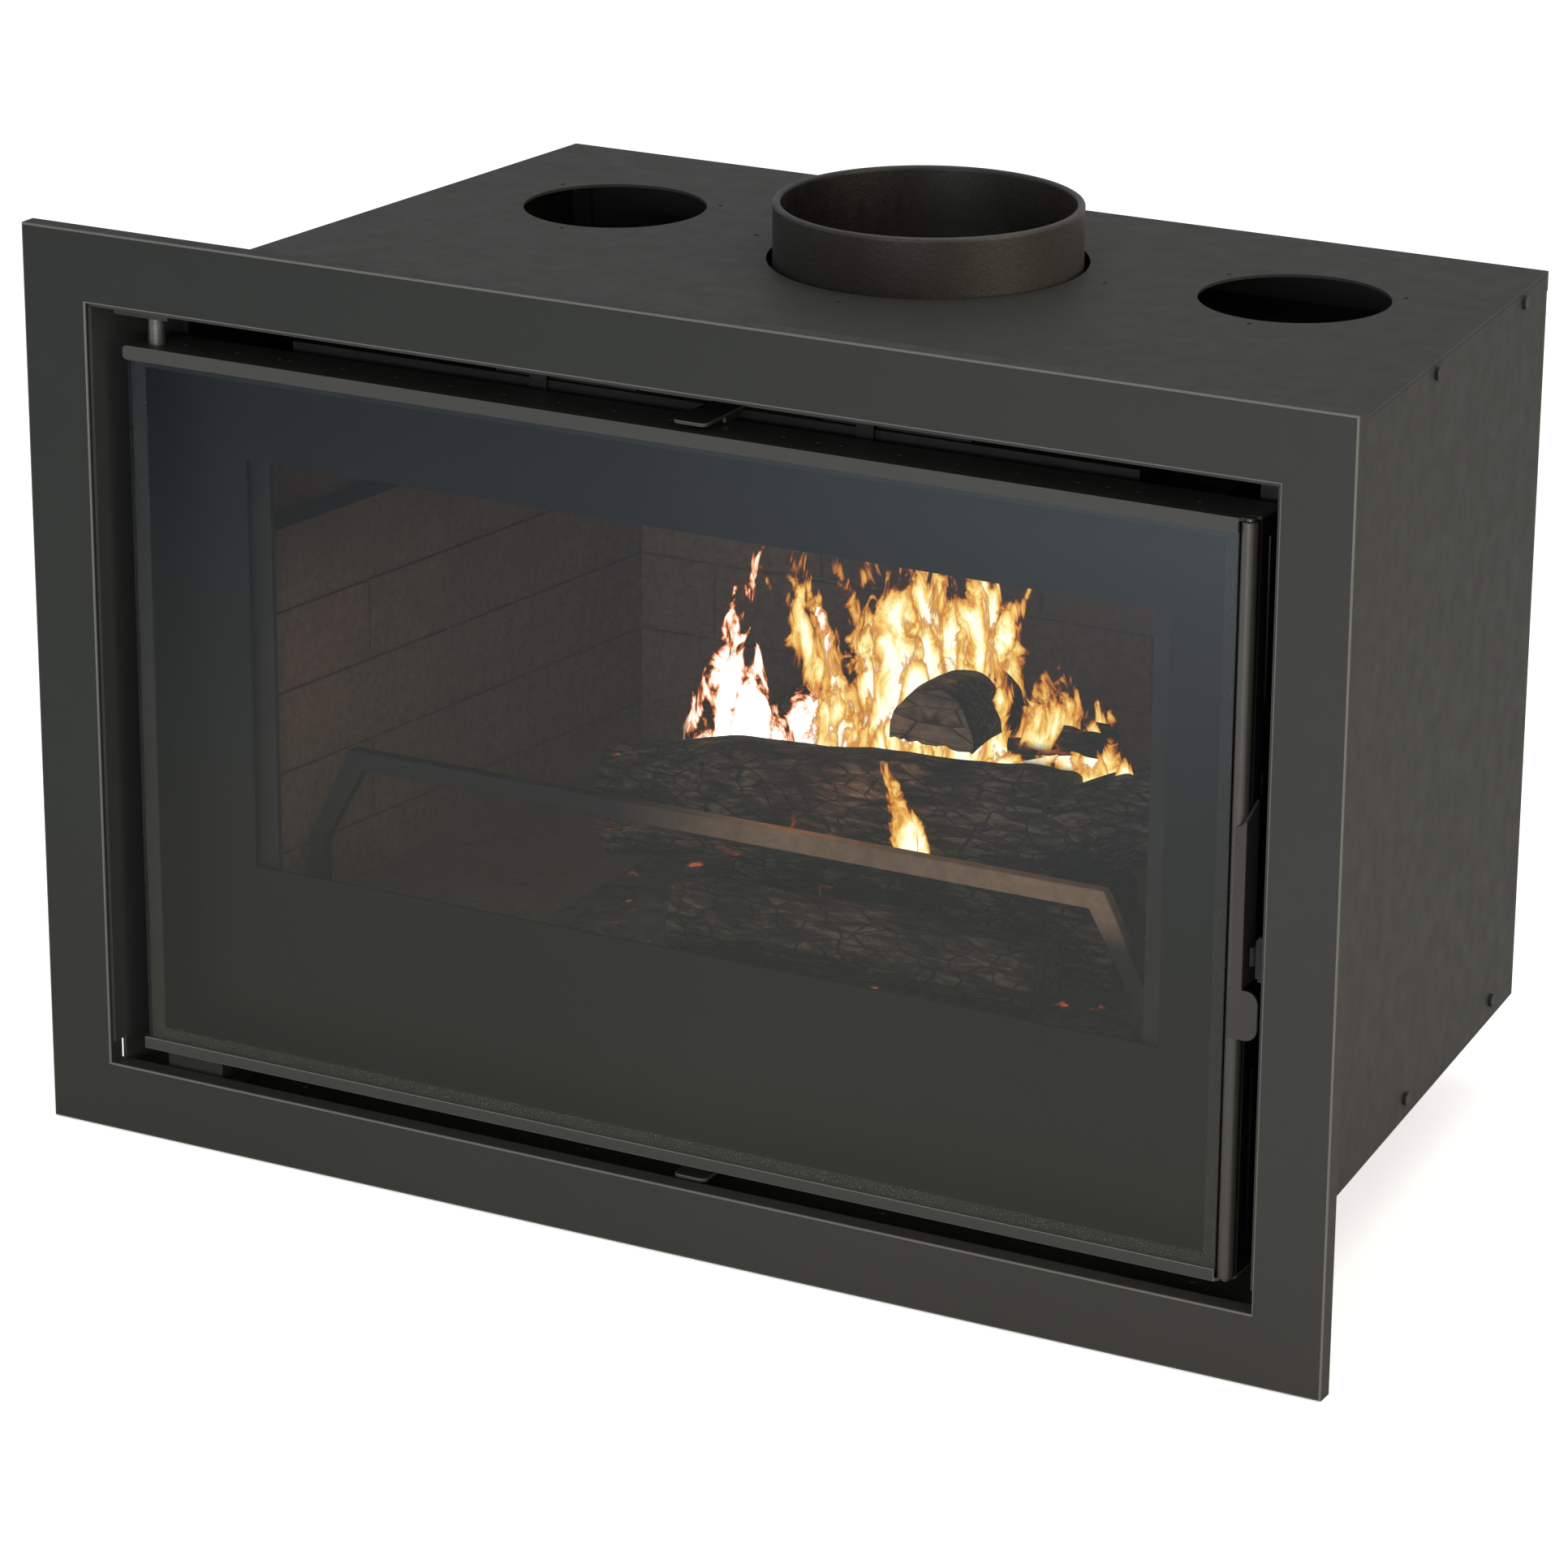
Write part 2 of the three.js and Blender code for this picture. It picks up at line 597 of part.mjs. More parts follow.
function fireboxRoof() {
  const plate = plan(boxPlan(boxFront, boxBack), boxTop - BOX_SHEET, boxTop);
  const flue = upright(0, flueY, FLUE_R - FLUE_WALL, boxTop - 10, boxTop + 5, 48);
  const wash = box(-UPPER_DUCT_HALF + 20, UPPER_DUCT_HALF - 20, boxFront + 4, boxFront + 12,
    boxTop - 10, boxTop + 5);
  return cut(plate, flue, wash);
}

function fireboxBottom() {
  const plate = plan(boxPlan(boxFront, boxBack), BOX_BOTTOM, BOX_BOTTOM + BOX_SHEET);
  return cut(plate, ...airSlots(tabMiddle, lowerSlideMiddle, BOX_BOTTOM + BOX_SHEET / 2));
}

function brickGrooves(z0) {
  const rows = [];
  for (let z = brickTop - BRICK_COURSE; z > z0 + 4; z -= BRICK_COURSE) {
    rows.push(z);
  }
  return rows;
}

// moulded brick pattern: level grooves, and upright ones that shift by half a brick
function sideBricks(sign) {
  const z0 = floorTop + CLEAR;
  const y0 = boxFront + 2;
  const y1 = brickBackY - CLEAR;
  const slab = boxSlab(sign, y0, y1, lining, lining + BRICK_T, z0, brickTop);
  const faceInset = lining + BRICK_T - BRICK_GROOVE;
  const rows = brickGrooves(z0);
  const g = BRICK_GROOVE / 2;
  const tools = rows.map((z) => boxSlab(sign, y0 - 9, y1 + 9, faceInset, faceInset + 20, z - g, z + g));
  const edges = [brickTop + 1, ...rows, z0 - 1];
  edges.slice(0, -1).forEach((top, i) => {
    const first = y0 + (i % 2 ? BRICK_LENGTH / 2 : BRICK_LENGTH) + 12;
    for (let y = first; y < y1 - 12; y += BRICK_LENGTH) {
      tools.push(boxSlab(sign, y - g, y + g, faceInset, faceInset + 20, edges[i + 1], top));
    }
  });
  return cut(slab, ...tools);
}

function backBricks() {
  const z0 = floorTop + CLEAR;
  const half = boxHalfAt(brickBackY) - lining;
  const slab = plan(boxPlan(brickBackY, brickBackY + BRICK_T, lining + CLEAR), z0, brickTop);
  const rows = brickGrooves(z0);
  const g = BRICK_GROOVE / 2;
  const y1 = brickBackY + BRICK_GROOVE;
  const tools = rows.map((z) => box(-half - 9, half + 9, brickBackY - 9, y1, z - g, z + g));
  const edges = [brickTop + 1, ...rows, z0 - 1];
  edges.slice(0, -1).forEach((top, i) => {
    const shift = i % 2 ? BRICK_LENGTH / 2 : 0;
    for (let x = -half + BRICK_LENGTH / 2 + shift; x < half - 12; x += BRICK_LENGTH) {
      tools.push(box(x - g, x + g, brickBackY - 9, y1, edges[i + 1], top));
    }
  });
  return cut(slab, ...tools);
}

// ash well, hearth plate, floor slabs, grate and pan

const wellHalf = GRATE_HALF_X - 8;
const wellFront = GRATE_FRONT + 8;
const wellBack = GRATE_BACK - 8;

function hearthPlate() {
  const inset = lining;
  const plate = plan(boxPlan(boxFront + 2, sideWallBack - CLEAR, inset), HEARTH_BOTTOM, HEARTH_BOTTOM + HEARTH_T);
  return cut(plate, box(-wellHalf, wellHalf, wellFront, wellBack, HEARTH_BOTTOM - 5, HEARTH_BOTTOM + 9));
}

function ashWell() {
  const t = 3;
  const shape = rectangle(-wellHalf - t, wellHalf + t, wellFront - t, wellBack + t);
  shape.holes.push(rectangle(-wellHalf, wellHalf, wellFront, wellBack));
  const walls = plan(shape, wallBottom, HEARTH_BOTTOM - CLEAR);
  const inlet = box(-wellHalf + 20, wellHalf - 20, wellFront - 20, wellFront + 5, 34, 56);
  return cut(walls, inlet);
}

function ashPan() {
  const gap = 4;
  const t = PAN_SHEET;
  const x = wellHalf - gap;
  const y0 = wellFront + gap;
  const y1 = wellBack - gap;
  const z0 = wallBottom;
  const outer = box(-x, x, y0, y1, z0, z0 + PAN_HEIGHT);
  return cut(outer, box(-x + t, x - t, y0 + t, y1 - t, z0 + t, z0 + PAN_HEIGHT + 5));
}

function hearthSlab(which) {
  const z0 = HEARTH_BOTTOM + HEARTH_T + CLEAR;
  const z1 = floorTop;
  const y0 = boxFront + 2;
  const y1 = sideWallBack - CLEAR;
  const whole = plan(boxPlan(y0, y1, lining), z0, z1);
  const gx = GRATE_HALF_X + CLEAR;
  const gy0 = GRATE_FRONT - CLEAR;
  const gy1 = GRATE_BACK + CLEAR;
  const big = 500;
  const windows = {
    hearth_slab_left: box(-big, -gx, y0 - 5, y1 + 5, z0 - 5, z1 + 5),
    hearth_slab_right: box(gx, big, y0 - 5, y1 + 5, z0 - 5, z1 + 5),
    hearth_slab_front: box(-gx + CLEAR, gx - CLEAR, y0 - 5, gy0, z0 - 5, z1 + 5),
    hearth_slab_rear: box(-gx + CLEAR, gx - CLEAR, gy1, y1 + 5, z0 - 5, z1 + 5),
  };
  return common(whole, windows[which]);
}

function grate() {
  const z0 = HEARTH_BOTTOM + HEARTH_T + CLEAR;
  const z1 = z0 + GRATE_T;
  const r = GRATE_SLOT / 2;
  const pitch = (2 * wellHalf - 12) / GRATE_SLOTS;
  const slots = spread(GRATE_SLOTS, pitch).map((x) => {
    const slot = new THREE.Shape();
    slot.absarc(x, wellBack - 14, r, 0, Math.PI, false);
    slot.absarc(x, wellFront + 14, r, Math.PI, 2 * Math.PI, false);
    slot.closePath();
    return plan(slot, z0 - 5, z1 + 5, 3);
  });
  return cut(box(-GRATE_HALF_X, GRATE_HALF_X, GRATE_FRONT, GRATE_BACK, z0, z1), ...slots);
}

function logRetainer() {
  const z0 = floorTop + CLEAR;
  const z1 = BAR_Z + BAR_H;
  const w = 12;
  const foot = barFootHalf;
  const knee = z0 + 46;
  const half = [
    [barHalf + 4, z1], [foot + 6, knee], [foot + 6, z0], [foot + 6 - w, z0],
    [foot + 6 - w, knee - 2], [barHalf - 6, BAR_Z]];
  return front(outline(mirrored(half)), BAR_Y, BAR_Y + BAR_T);
}

function baffle() {
  const y1 = brickBackY - CLEAR;
  const shape = boxPlan(BAFFLE_FRONT, y1, lining + CLEAR);
  return plan(shape, brickTop + CLEAR, brickTop + CLEAR + BAFFLE_T);
}

function supportRail(sign) {
  const t = CASING_SHEET;
  const x0 = RAIL_X;
  const x1 = x0 + RAIL_WIDTH;
  const y0 = RAIL_FRONT;
  const y1 = boxBack - RAIL_REAR;
  const z0 = CASING_SHEET + CLEAR;
  const z1 = BOX_BOTTOM - CLEAR;
  const web = box(x0, x0 + t, y0, y1, z0, z1);
  const foot = box(x0, x1, y0, y1, z0, z0 + t);
  const head = box(x0, x1, y0, y1, z1 - t, z1);
  const rail = join(web, foot, head);
  return sign > 0 ? rail : rail.rotateZ(Math.PI).translate(0, y0 + y1, 0);
}

// ---------------------------------------------------------------- air slides

function upperDuct() {
  const t = SLIDE_SHEET;
  const y0 = FASCIA_FRONT + FASCIA_SHEET + CLEAR;
  const y1 = UPPER_SLIDE_Y + SLIDE_DEPTH + 8;
  const x = UPPER_DUCT_HALF;
  const z0 = boxTop + CLEAR;
  const hood = cut(
    box(-x, x, y0, y1, z0, ductTop),
    box(-x + t, x - t, y0 + t, y1 - t, z0 - 5, ductTop - t));
  return cut(hood, ...airSlots(tabMiddle, upperSlideMiddle, ductTop - t / 2));
}

// tab outline in plan, rounded at its front corners
function tabPlan(x0, x1, y0, y1, r) {
  const shape = new THREE.Shape();
  shape.moveTo(x1, y1);
  shape.lineTo(x0, y1);
  shape.lineTo(x0, y0 + r);
  shape.absarc(x0 + r, y0 + r, r, Math.PI, 1.5 * Math.PI, false);
  shape.lineTo(x1 - r, y0);
  shape.absarc(x1 - r, y0 + r, r, 1.5 * Math.PI, 2 * Math.PI, false);
  shape.closePath();
  return shape;
}

function upperSlide() {
  const z0 = ductTop + CLEAR;
  const z1 = z0 + SLIDE_SHEET;
  const x0 = SLIDE_TAB_LEFT;
  const x1 = x0 + SLIDE_TAB_W;
  const y1 = UPPER_SLIDE_Y + SLIDE_DEPTH;
  const tab = plan(tabPlan(x0, x1, UPPER_TAB_FRONT, UPPER_SLIDE_Y + 2, 4), z0, z1);
  const fold = box(x1 - SLIDE_SHEET, x1, UPPER_TAB_FRONT + 24, FASCIA_FRONT - 4, doorTop + 1, z1);
  const half = SLIDE_PLATE_HALF;
  const plate = box(tabMiddle - half, tabMiddle + half, UPPER_SLIDE_Y, y1, z0, z1);
  return cut(join(tab, fold, plate), ...airSlots(tabMiddle, upperSlideMiddle, z0 + 1));
}

// C-shaped guide round a slide plate: a channel behind it, an arm at each end of its
// travel and two short channels in front, with the gap between them for the tab.
// bed is the level that the guide is fixed to, and grip is +1 over the plate, -1 under it.
function slideGuide(y0, bed, grip) {
  const t = SLIDE_SHEET;
  const level = bed + grip * (t + 2 * CLEAR);
  const span = (near, far) => (grip > 0 ? [near, far] : [far, near]);
  const lip = span(level, level + grip * t);
  const wall = span(bed + grip * CLEAR, level + grip * t);
  const yFront = y0 - CLEAR;
  const yRear = y0 + SLIDE_DEPTH + CLEAR;
  const end = SLIDE_PLATE_HALF + SLIDE_TRAVEL + CLEAR;
  const gap = SLIDE_TAB_W / 2 + SLIDE_TRAVEL + 2;
  const run = (a, b, c, d, [z0, z1]) => box(tabMiddle + a, tabMiddle + b, c, d, z0, z1);
  return join(
    run(-end - t, end + t, yRear, yRear + t, wall),
    run(-end - t, end + t, yRear - SLIDE_GUIDE_LIP, yRear + t, lip),
    ...[-1, 1].flatMap((s) => {
      const [a, b] = [s * end, s * (end + t)].sort((p, q) => p - q);
      const [c, d] = [s * gap, s * (end + t)].sort((p, q) => p - q);
      return [
        run(a, b, yFront - t, yRear + t, wall),
        run(c, d, yFront - t, yFront, wall),
        run(c, d, yFront - t, yFront + SLIDE_GUIDE_LIP, lip)];
    }));
}

function lowerSlide() {
  const t = SLIDE_SHEET;
  const z1 = BOX_BOTTOM - CLEAR;
  const z0 = z1 - t;
  const x0 = SLIDE_TAB_LEFT;
  const x1 = x0 + SLIDE_TAB_W;
  const riseBack = LOWER_SLIDE_Y - 2;
  const y1 = LOWER_SLIDE_Y + SLIDE_DEPTH;
  const tab = plan(tabPlan(x0, x1, LOWER_TAB_FRONT, riseBack, 4), LOWER_TAB_Z, LOWER_TAB_Z + t);
  const rise = box(x0, x1, riseBack - t, riseBack, LOWER_TAB_Z, z1);
  const neck = box(x0, x1, riseBack - t, LOWER_SLIDE_Y + 2, z0, z1);
  const half = SLIDE_PLATE_HALF;
  const plate = box(tabMiddle - half, tabMiddle + half, LOWER_SLIDE_Y, y1, z0, z1);
  return cut(join(tab, rise, neck, plate), ...airSlots(tabMiddle, lowerSlideMiddle, z0 + 1));
}

// ---------------------------------------------------------------- door

const stripSheet = DOOR_SHEET;
const doorFrameFront = glassBack + CLEAR + 1.5;
const doorFrameTop = doorTop - stripSheet - CLEAR;
const doorFrameBottom = doorBottom + stripSheet + CLEAR;
const rodClear = rodY + ROD_R + RUN;
const doorWallLeft = -doorHalf + 1;

function doorFrame() {
  const t = DOOR_SHEET;
  const block = box(doorWallLeft, doorHalf, doorFrameFront, doorBack, doorFrameBottom, doorFrameTop);
  const rodNotch = box(stripRight, doorHalf + 9, doorFrameFront - 9, rodClear, doorFrameBottom - 9, doorFrameTop + 9);
  const hollow = box(doorWallLeft + t, stripRight - t, doorFrameFront - 9, doorBack - DOOR_BACK_SHEET,
    doorFrameBottom + t, doorFrameTop - t);
  const window = box(-windowHalf, windowHalf, doorFrameFront - 9, doorBack + 9, windowBottom, windowTop);
  const pinHoles = [
    upright(hingeX, HINGE_Y, HINGE_PIN_R + RUN, doorFrameTop - 9, doorFrameTop + 9, 20),
    upright(hingeX, HINGE_Y, HINGE_LOWER_PIN_R + RUN, doorFrameBottom - 9, doorFrameBottom + 9, 20)];
  const slotY = rodClear + 11;
  const heights = [
    [doorTop - 115, doorTop - 15], [HANDLE_TOP + 3, HANDLE_TOP + 19], [doorBottom + 25, doorBottom + 129]];
  const slots = heights.map(([z0, z1]) =>
    box(doorHalf - 3, doorHalf + 9, slotY - 2.5, slotY + 2.5, z0, z1));
  return cut(block, rodNotch, hollow, window, ...pinHoles, ...slots);
}

function stripHoles(z) {
  const middle = (doorWallLeft + stripRight) / 2;
  const row = spread(stripHoleCount, STRIP_HOLE_PITCH, middle);
  const extra = spread(4, STRIP_HOLE_PITCH * 4.9, middle + 6);
  return [...row, ...extra]
    .map((x) => upright(x, HINGE_Y + 4, SMALL_HOLE_R, z - 5, z + 5, 8));
}

function rodBearing(z) {
  return upright(rodX, rodY, 3 + RUN, z - 5, z + 5, 16);
}

function doorTopStrip() {
  const t = stripSheet;
  const r = 3;
  const left = -doorHalf - 1;
  const lip = new THREE.Shape();
  lip.moveTo(left + r, doorTop);
  lip.absarc(left + r, doorTop - r, r, Math.PI / 2, Math.PI, false);
  lip.absarc(left + r, doorTop - STRIP_LIP + r, r, Math.PI, 1.5 * Math.PI, false);
  lip.lineTo(stripRight, doorTop - STRIP_LIP);
  lip.lineTo(stripRight, doorTop);
  lip.closePath();
  const plate = outline([
    [left + r, DOOR_FRONT], [stripRight, DOOR_FRONT], [doorHalf, DOOR_FRONT + 2 * ROD_R],
    [doorHalf, doorBack], [left + 1, doorBack], [left + 1, DOOR_FRONT + r]]);
  return cut(
    join(front(lip, DOOR_FRONT, DOOR_FRONT + t), plan(plate, doorTop - t, doorTop)),
    upright(hingeX, HINGE_Y, HINGE_PIN_R + RUN, doorTop - 9, doorTop + 9, 20),
    rodBearing(doorTop),
    ...stripHoles(doorTop));
}

function doorBottomStrip() {
  const t = stripSheet;
  const left = -doorHalf - 1;
  const lip = box(left, stripRight, DOOR_FRONT, DOOR_FRONT + t, doorBottom, doorBottom + STRIP_LIP - 1);
  const plate = outline([
    [left, DOOR_FRONT], [stripRight, DOOR_FRONT], [doorHalf, DOOR_FRONT + 2 * ROD_R],
    [doorHalf, doorBack], [left, doorBack]]);
  return cut(
    join(lip, plan(plate, doorBottom, doorBottom + t)),
    upright(hingeX, HINGE_Y, HINGE_LOWER_PIN_R + RUN, doorBottom - 9, doorBottom + 9, 20),
    rodBearing(doorBottom));
}

const glassBottom = doorBottom + STRIP_LIP - GLASS_BITE;
const glassTop = doorTop - STRIP_LIP + GLASS_BITE;

function doorGlass() {
  return box(doorWallLeft, stripRight, glassFront, glassBack, glassBottom, glassTop);
}

function ringShape(x0, x1, z0, z1, w) {
  const shape = rectangle(x0, x1, z0, z1);
  shape.holes.push(rectangle(x0 + w, x1 - w, z0 + w, z1 - w));
  return shape;
}

function glassSeal() {
  const shape = ringShape(doorWallLeft, stripRight, glassBottom, glassTop, DOOR_SHEET + 8);
  return front(shape, glassBack + CLEAR, doorFrameFront - CLEAR);
}

const ropeHalf = windowHalf + 3 + ROPE_W;
const ropeBottom = FIRE_OPEN_BOTTOM - 6 - ROPE_W;
const ropeTop = fireOpenTop + 4 + ROPE_W;

function doorRope() {
  return front(ringShape(-ropeHalf, ropeHalf, ropeBottom, ropeTop, ROPE_W), ropeFront, ropeFront + ROPE_T);
}

const hingePlateTop = coverBottom - CLEAR;
const HINGE_PLATE_T = 4;

function upperHingePin() {
  const z0 = doorFrameTop - DOOR_SHEET - 6;
  return upright(hingeX, HINGE_Y, HINGE_PIN_R, z0, hingePlateTop - 0.5, 24);
}

function lowerHingePin() {
  const z1 = doorFrameBottom + DOOR_SHEET + 6;
  return upright(hingeX, HINGE_Y, HINGE_LOWER_PIN_R, -SILL_DROP + 1, z1, 20);
}

function upperHingeBracket() {
  const z0 = hingePlateTop - HINGE_PLATE_T;
  const half = 20;
  const x0 = Math.max(hingeX - half, -casingHalf + CASING_SHEET + 1);
  const plate = box(x0, hingeX + half, 8, FASCIA_FRONT - CLEAR, z0, hingePlateTop);
  return cut(plate, upright(hingeX, HINGE_Y, HINGE_PIN_R + RUN, z0 - 5, hingePlateTop + 5, 24));
}

function lowerHingeBracket() {
  const z0 = -SILL_DROP + CLEAR;
  const z1 = doorBottom - 0.6;
  const t = 3;
  const x1 = hingeX + 38;
  const yFace = HINGE_Y - HINGE_BARREL_R;
  const barrel = upright(hingeX, HINGE_Y, HINGE_BARREL_R, z0, z1, 24);
  const face = box(hingeX, x1, yFace, yFace + t, z0, z1);
  const cheek = box(x1 - t, x1, yFace, HINGE_Y + 22, z0, z1);
  const foot = box(x1 - t, x1 + 10, yFace + 6, HINGE_Y + 22, z0, z0 + t);
  return cut(join(barrel, face, cheek, foot),
    upright(hingeX, HINGE_Y, HINGE_LOWER_PIN_R + RUN, z0 - 5, z1 + 5, 20));
}

// latch rod with handle and cam

function latchRod() {
  const z0 = doorBottom + stripSheet + CLEAR;
  const z1 = doorTop - stripSheet - CLEAR;
  return join(
    upright(rodX, rodY, ROD_R, z0, z1, 24),
    upright(rodX, rodY, 3, doorBottom + 0.2, doorTop - 0.2, 16));
}

const handleFront = DOOR_FRONT - CLEAR - HANDLE_SHEET;
const handleLeft = rodX + 0.2;
const handleRight = rodX + ROD_R + CLEAR + HANDLE_SHEET;
const handleRear = handleFront + HANDLE_LEG;

function doorHandle() {
  const t = HANDLE_SHEET;
  const slant = 9;
  const faceShape = outline([
    [handleLeft, HANDLE_BOTTOM - 1], [handleRight, HANDLE_BOTTOM - 1],
    [handleRight, HANDLE_TOP - 4], [handleLeft, HANDLE_TOP - 8]]);
  const legShape = outline([
    [handleFront, HANDLE_BOTTOM], [handleRear, HANDLE_BOTTOM],
    [handleRear, HANDLE_TOP + slant - 4], [handleFront, HANDLE_TOP - 4]]);
  const x0 = rodX - 1;
  const x1 = rodX + TAB_REACH;
  const z0 = HANDLE_BOTTOM - TAB_HEIGHT;
  const r = 8;
  const tab = new THREE.Shape();
  tab.moveTo(x0, z0);
  tab.lineTo(x1 - r, z0);
  tab.absarc(x1 - r, z0 + r, r, -Math.PI / 2, 0, false);
  tab.absarc(x1 - r, HANDLE_BOTTOM - r, r, 0, Math.PI / 2, false);
  tab.lineTo(x0, HANDLE_BOTTOM);
  tab.closePath();
  return join(
    front(faceShape, handleFront, handleFront + t),
    side(legShape, handleRight - t, handleRight),
    front(tab, handleFront, handleFront + t));
}

// finger bolted to the handle's side leg
function latchCam() {
  const tip = 4;
  const x0 = handleRight + CLEAR;
  const x1 = rodX + CAM_REACH;
  const shape = new THREE.Shape();
  shape.moveTo(x0, rodY - tip);
  shape.absarc(x1 - tip, rodY, tip, -Math.PI / 2, Math.PI / 2, false);
  shape.lineTo(x0, rodY + tip);
  shape.closePath();
  return plan(shape, CAM_Z - CAM_T / 2, CAM_Z + CAM_T / 2, 6);
}

// angle on the casing side, its nose just clear of the cam
function latchKeeper() {
  const t = 3;
  const rear = rodY + KEEPER_DEPTH;
  const x0 = rodX + CAM_REACH + 2 * CLEAR;
  const x1 = casingHalfAt(rear) - CASING_SHEET - CLEAR;
  const y0 = rodY - 6;
  const plate = box(x1 - t, x1, y0, rear, CAM_Z - 14, CAM_Z + 14);
  const nose = box(x0, x1, y0, y0 + t, CAM_Z - CAM_T, CAM_Z + CAM_T);
  return join(plate, nose);
}

// ---------------------------------------------------------------- assembly

frameRails();
add('casing_cover', casingCover(), casingGrey);
add('casing_side_left', casingSide(-1), casingGrey);
add('casing_side_right', casingSide(1), casingGrey);
add('casing_back', casingBack(), casingGrey);
add('casing_base', casingBase(), casingGrey);
add('front_sill', frontSill(), anthracite);
add('hot_air_fascia', hotAirFascia(), darkSteel);
add('flue_collar', flueCollar(), collarIron);
for (const [hand, sign] of [['left', -1], ['right', 1]]) {
  for (const [depth, y] of [['front', SIDE_SCREW_FRONT], ['rear', sideScrewRear]]) {
    add(`side_screw_${hand}_${depth}_lower`, sideScrew(sign, y, sideScrewZ[0]), zinc);
    add(`side_screw_${hand}_${depth}_upper`, sideScrew(sign, y, sideScrewZ[1]), zinc);
  }
}

add('firebox_front', fireboxFront(), darkSteel);
add('firebox_side_left', boxSlab(-1, boxFront, sideWallBack, 0, BOX_SHEET, wallBottom, wallTop), darkSteel);
add('firebox_side_right', boxSlab(1, boxFront, sideWallBack, 0, BOX_SHEET, wallBottom, wallTop), darkSteel);
const backWallHalf = boxHalfAt(boxBack);
add('firebox_back', box(-backWallHalf, backWallHalf, backWallFront, boxBack, wallBottom, wallTop), darkSteel);
add('firebox_roof', fireboxRoof(), darkSteel);
add('firebox_bottom', fireboxBottom(), darkSteel);
add('support_rail_left', supportRail(-1), zinc);
add('support_rail_right', supportRail(1), zinc);
add('brick_lining_left', sideBricks(-1), vermiculite);
add('brick_lining_right', sideBricks(1), vermiculite);
add('brick_lining_back', backBricks(), vermiculite);
add('baffle_plate', baffle(), vermiculite);
add('hearth_plate', hearthPlate(), darkSteel);
for (const name of ['hearth_slab_left', 'hearth_slab_right', 'hearth_slab_front', 'hearth_slab_rear']) {
  add(name, hearthSlab(name), vermiculite);
}
add('ash_well', ashWell(), darkSteel);
add('ash_pan', ashPan(), zinc);
add('grate', grate(), castIron);
add('log_retainer', logRetainer(), castIron);

add('airwash_duct', upperDuct(), darkSteel);
add('airwash_slide', upperSlide(), anthracite);
add('airwash_slide_guide', slideGuide(UPPER_SLIDE_Y, ductTop, 1), zinc);
add('primary_air_slide', lowerSlide(), anthracite);
add('primary_slide_guide', slideGuide(LOWER_SLIDE_Y, BOX_BOTTOM, -1), zinc);

add('door_frame', doorFrame(), anthracite);
add('door_top_strip', doorTopStrip(), anthracite);
add('door_bottom_strip', doorBottomStrip(), anthracite);
add('door_glass', doorGlass(), glass);
add('glass_seal', glassSeal(), rope);
add('door_rope_seal', doorRope(), rope);
add('hinge_pin_upper', upperHingePin(), zinc);
add('hinge_pin_lower', lowerHingePin(), zinc);
add('hinge_bracket_upper', upperHingeBracket(), anthracite);
add('hinge_bracket_lower', lowerHingeBracket(), anthracite);
add('latch_rod', latchRod(), anthracite);
add('door_handle', doorHandle(), anthracite);
add('latch_cam', latchCam(), darkSteel);
add('latch_keeper', latchKeeper(), darkSteel);

insert.position.y = -BASE_MIDDLE_Y;

export default insert;
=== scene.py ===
import json
import math
import random

import bmesh
import bpy
from mathutils import Matrix, Vector, noise


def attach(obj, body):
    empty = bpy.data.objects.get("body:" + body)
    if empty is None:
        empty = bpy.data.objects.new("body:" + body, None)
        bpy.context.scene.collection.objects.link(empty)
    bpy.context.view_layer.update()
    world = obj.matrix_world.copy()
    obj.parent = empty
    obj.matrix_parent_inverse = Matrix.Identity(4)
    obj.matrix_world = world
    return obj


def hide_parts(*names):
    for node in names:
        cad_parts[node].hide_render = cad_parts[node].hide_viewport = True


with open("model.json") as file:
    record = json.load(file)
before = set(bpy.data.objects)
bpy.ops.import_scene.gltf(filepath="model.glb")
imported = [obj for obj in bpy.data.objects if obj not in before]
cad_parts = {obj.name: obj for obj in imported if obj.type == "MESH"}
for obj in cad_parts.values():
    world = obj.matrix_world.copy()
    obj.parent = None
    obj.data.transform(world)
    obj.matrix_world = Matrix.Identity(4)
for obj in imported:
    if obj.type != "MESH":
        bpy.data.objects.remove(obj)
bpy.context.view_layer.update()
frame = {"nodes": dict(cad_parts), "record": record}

NODES = frame["nodes"]
RECORD = frame["record"]
BODY_OF = {n: body for body, names in RECORD["behaviour"]["bodies"].items() for n in names}
SLOT_OF = {s["node"]: s["material_slot"] for s in RECORD["subparts"]}

# Places are written in millimetres with y = 0 in the frame's front plane, x = 0 in the
# middle and z = 0 at the casing's underside. The model's origin is ORIGIN_Y behind that plane.
MM = 1000.0
ORIGIN_Y = 310.0
FRAME_WIDTH, FRAME_HEIGHT, FRAME_BOTTOM = 900.0, 600.0, -60.0
CASING_BACK_Y = 525.0
COVER_TOP = 493.7
HEARTH_TOP = 90.8
FLUE_Y, FLUE_RADIUS, FLUE_WALL, FLUE_STAND = 360.0, 100.0, 5.0, 38.0


def at(x, y, z):
    """A place in millimetres as a point of the model's frame in metres."""
    return Vector((x, y - ORIGIN_Y, z)) / MM


# ------------------------------------------------------------------ shader helper

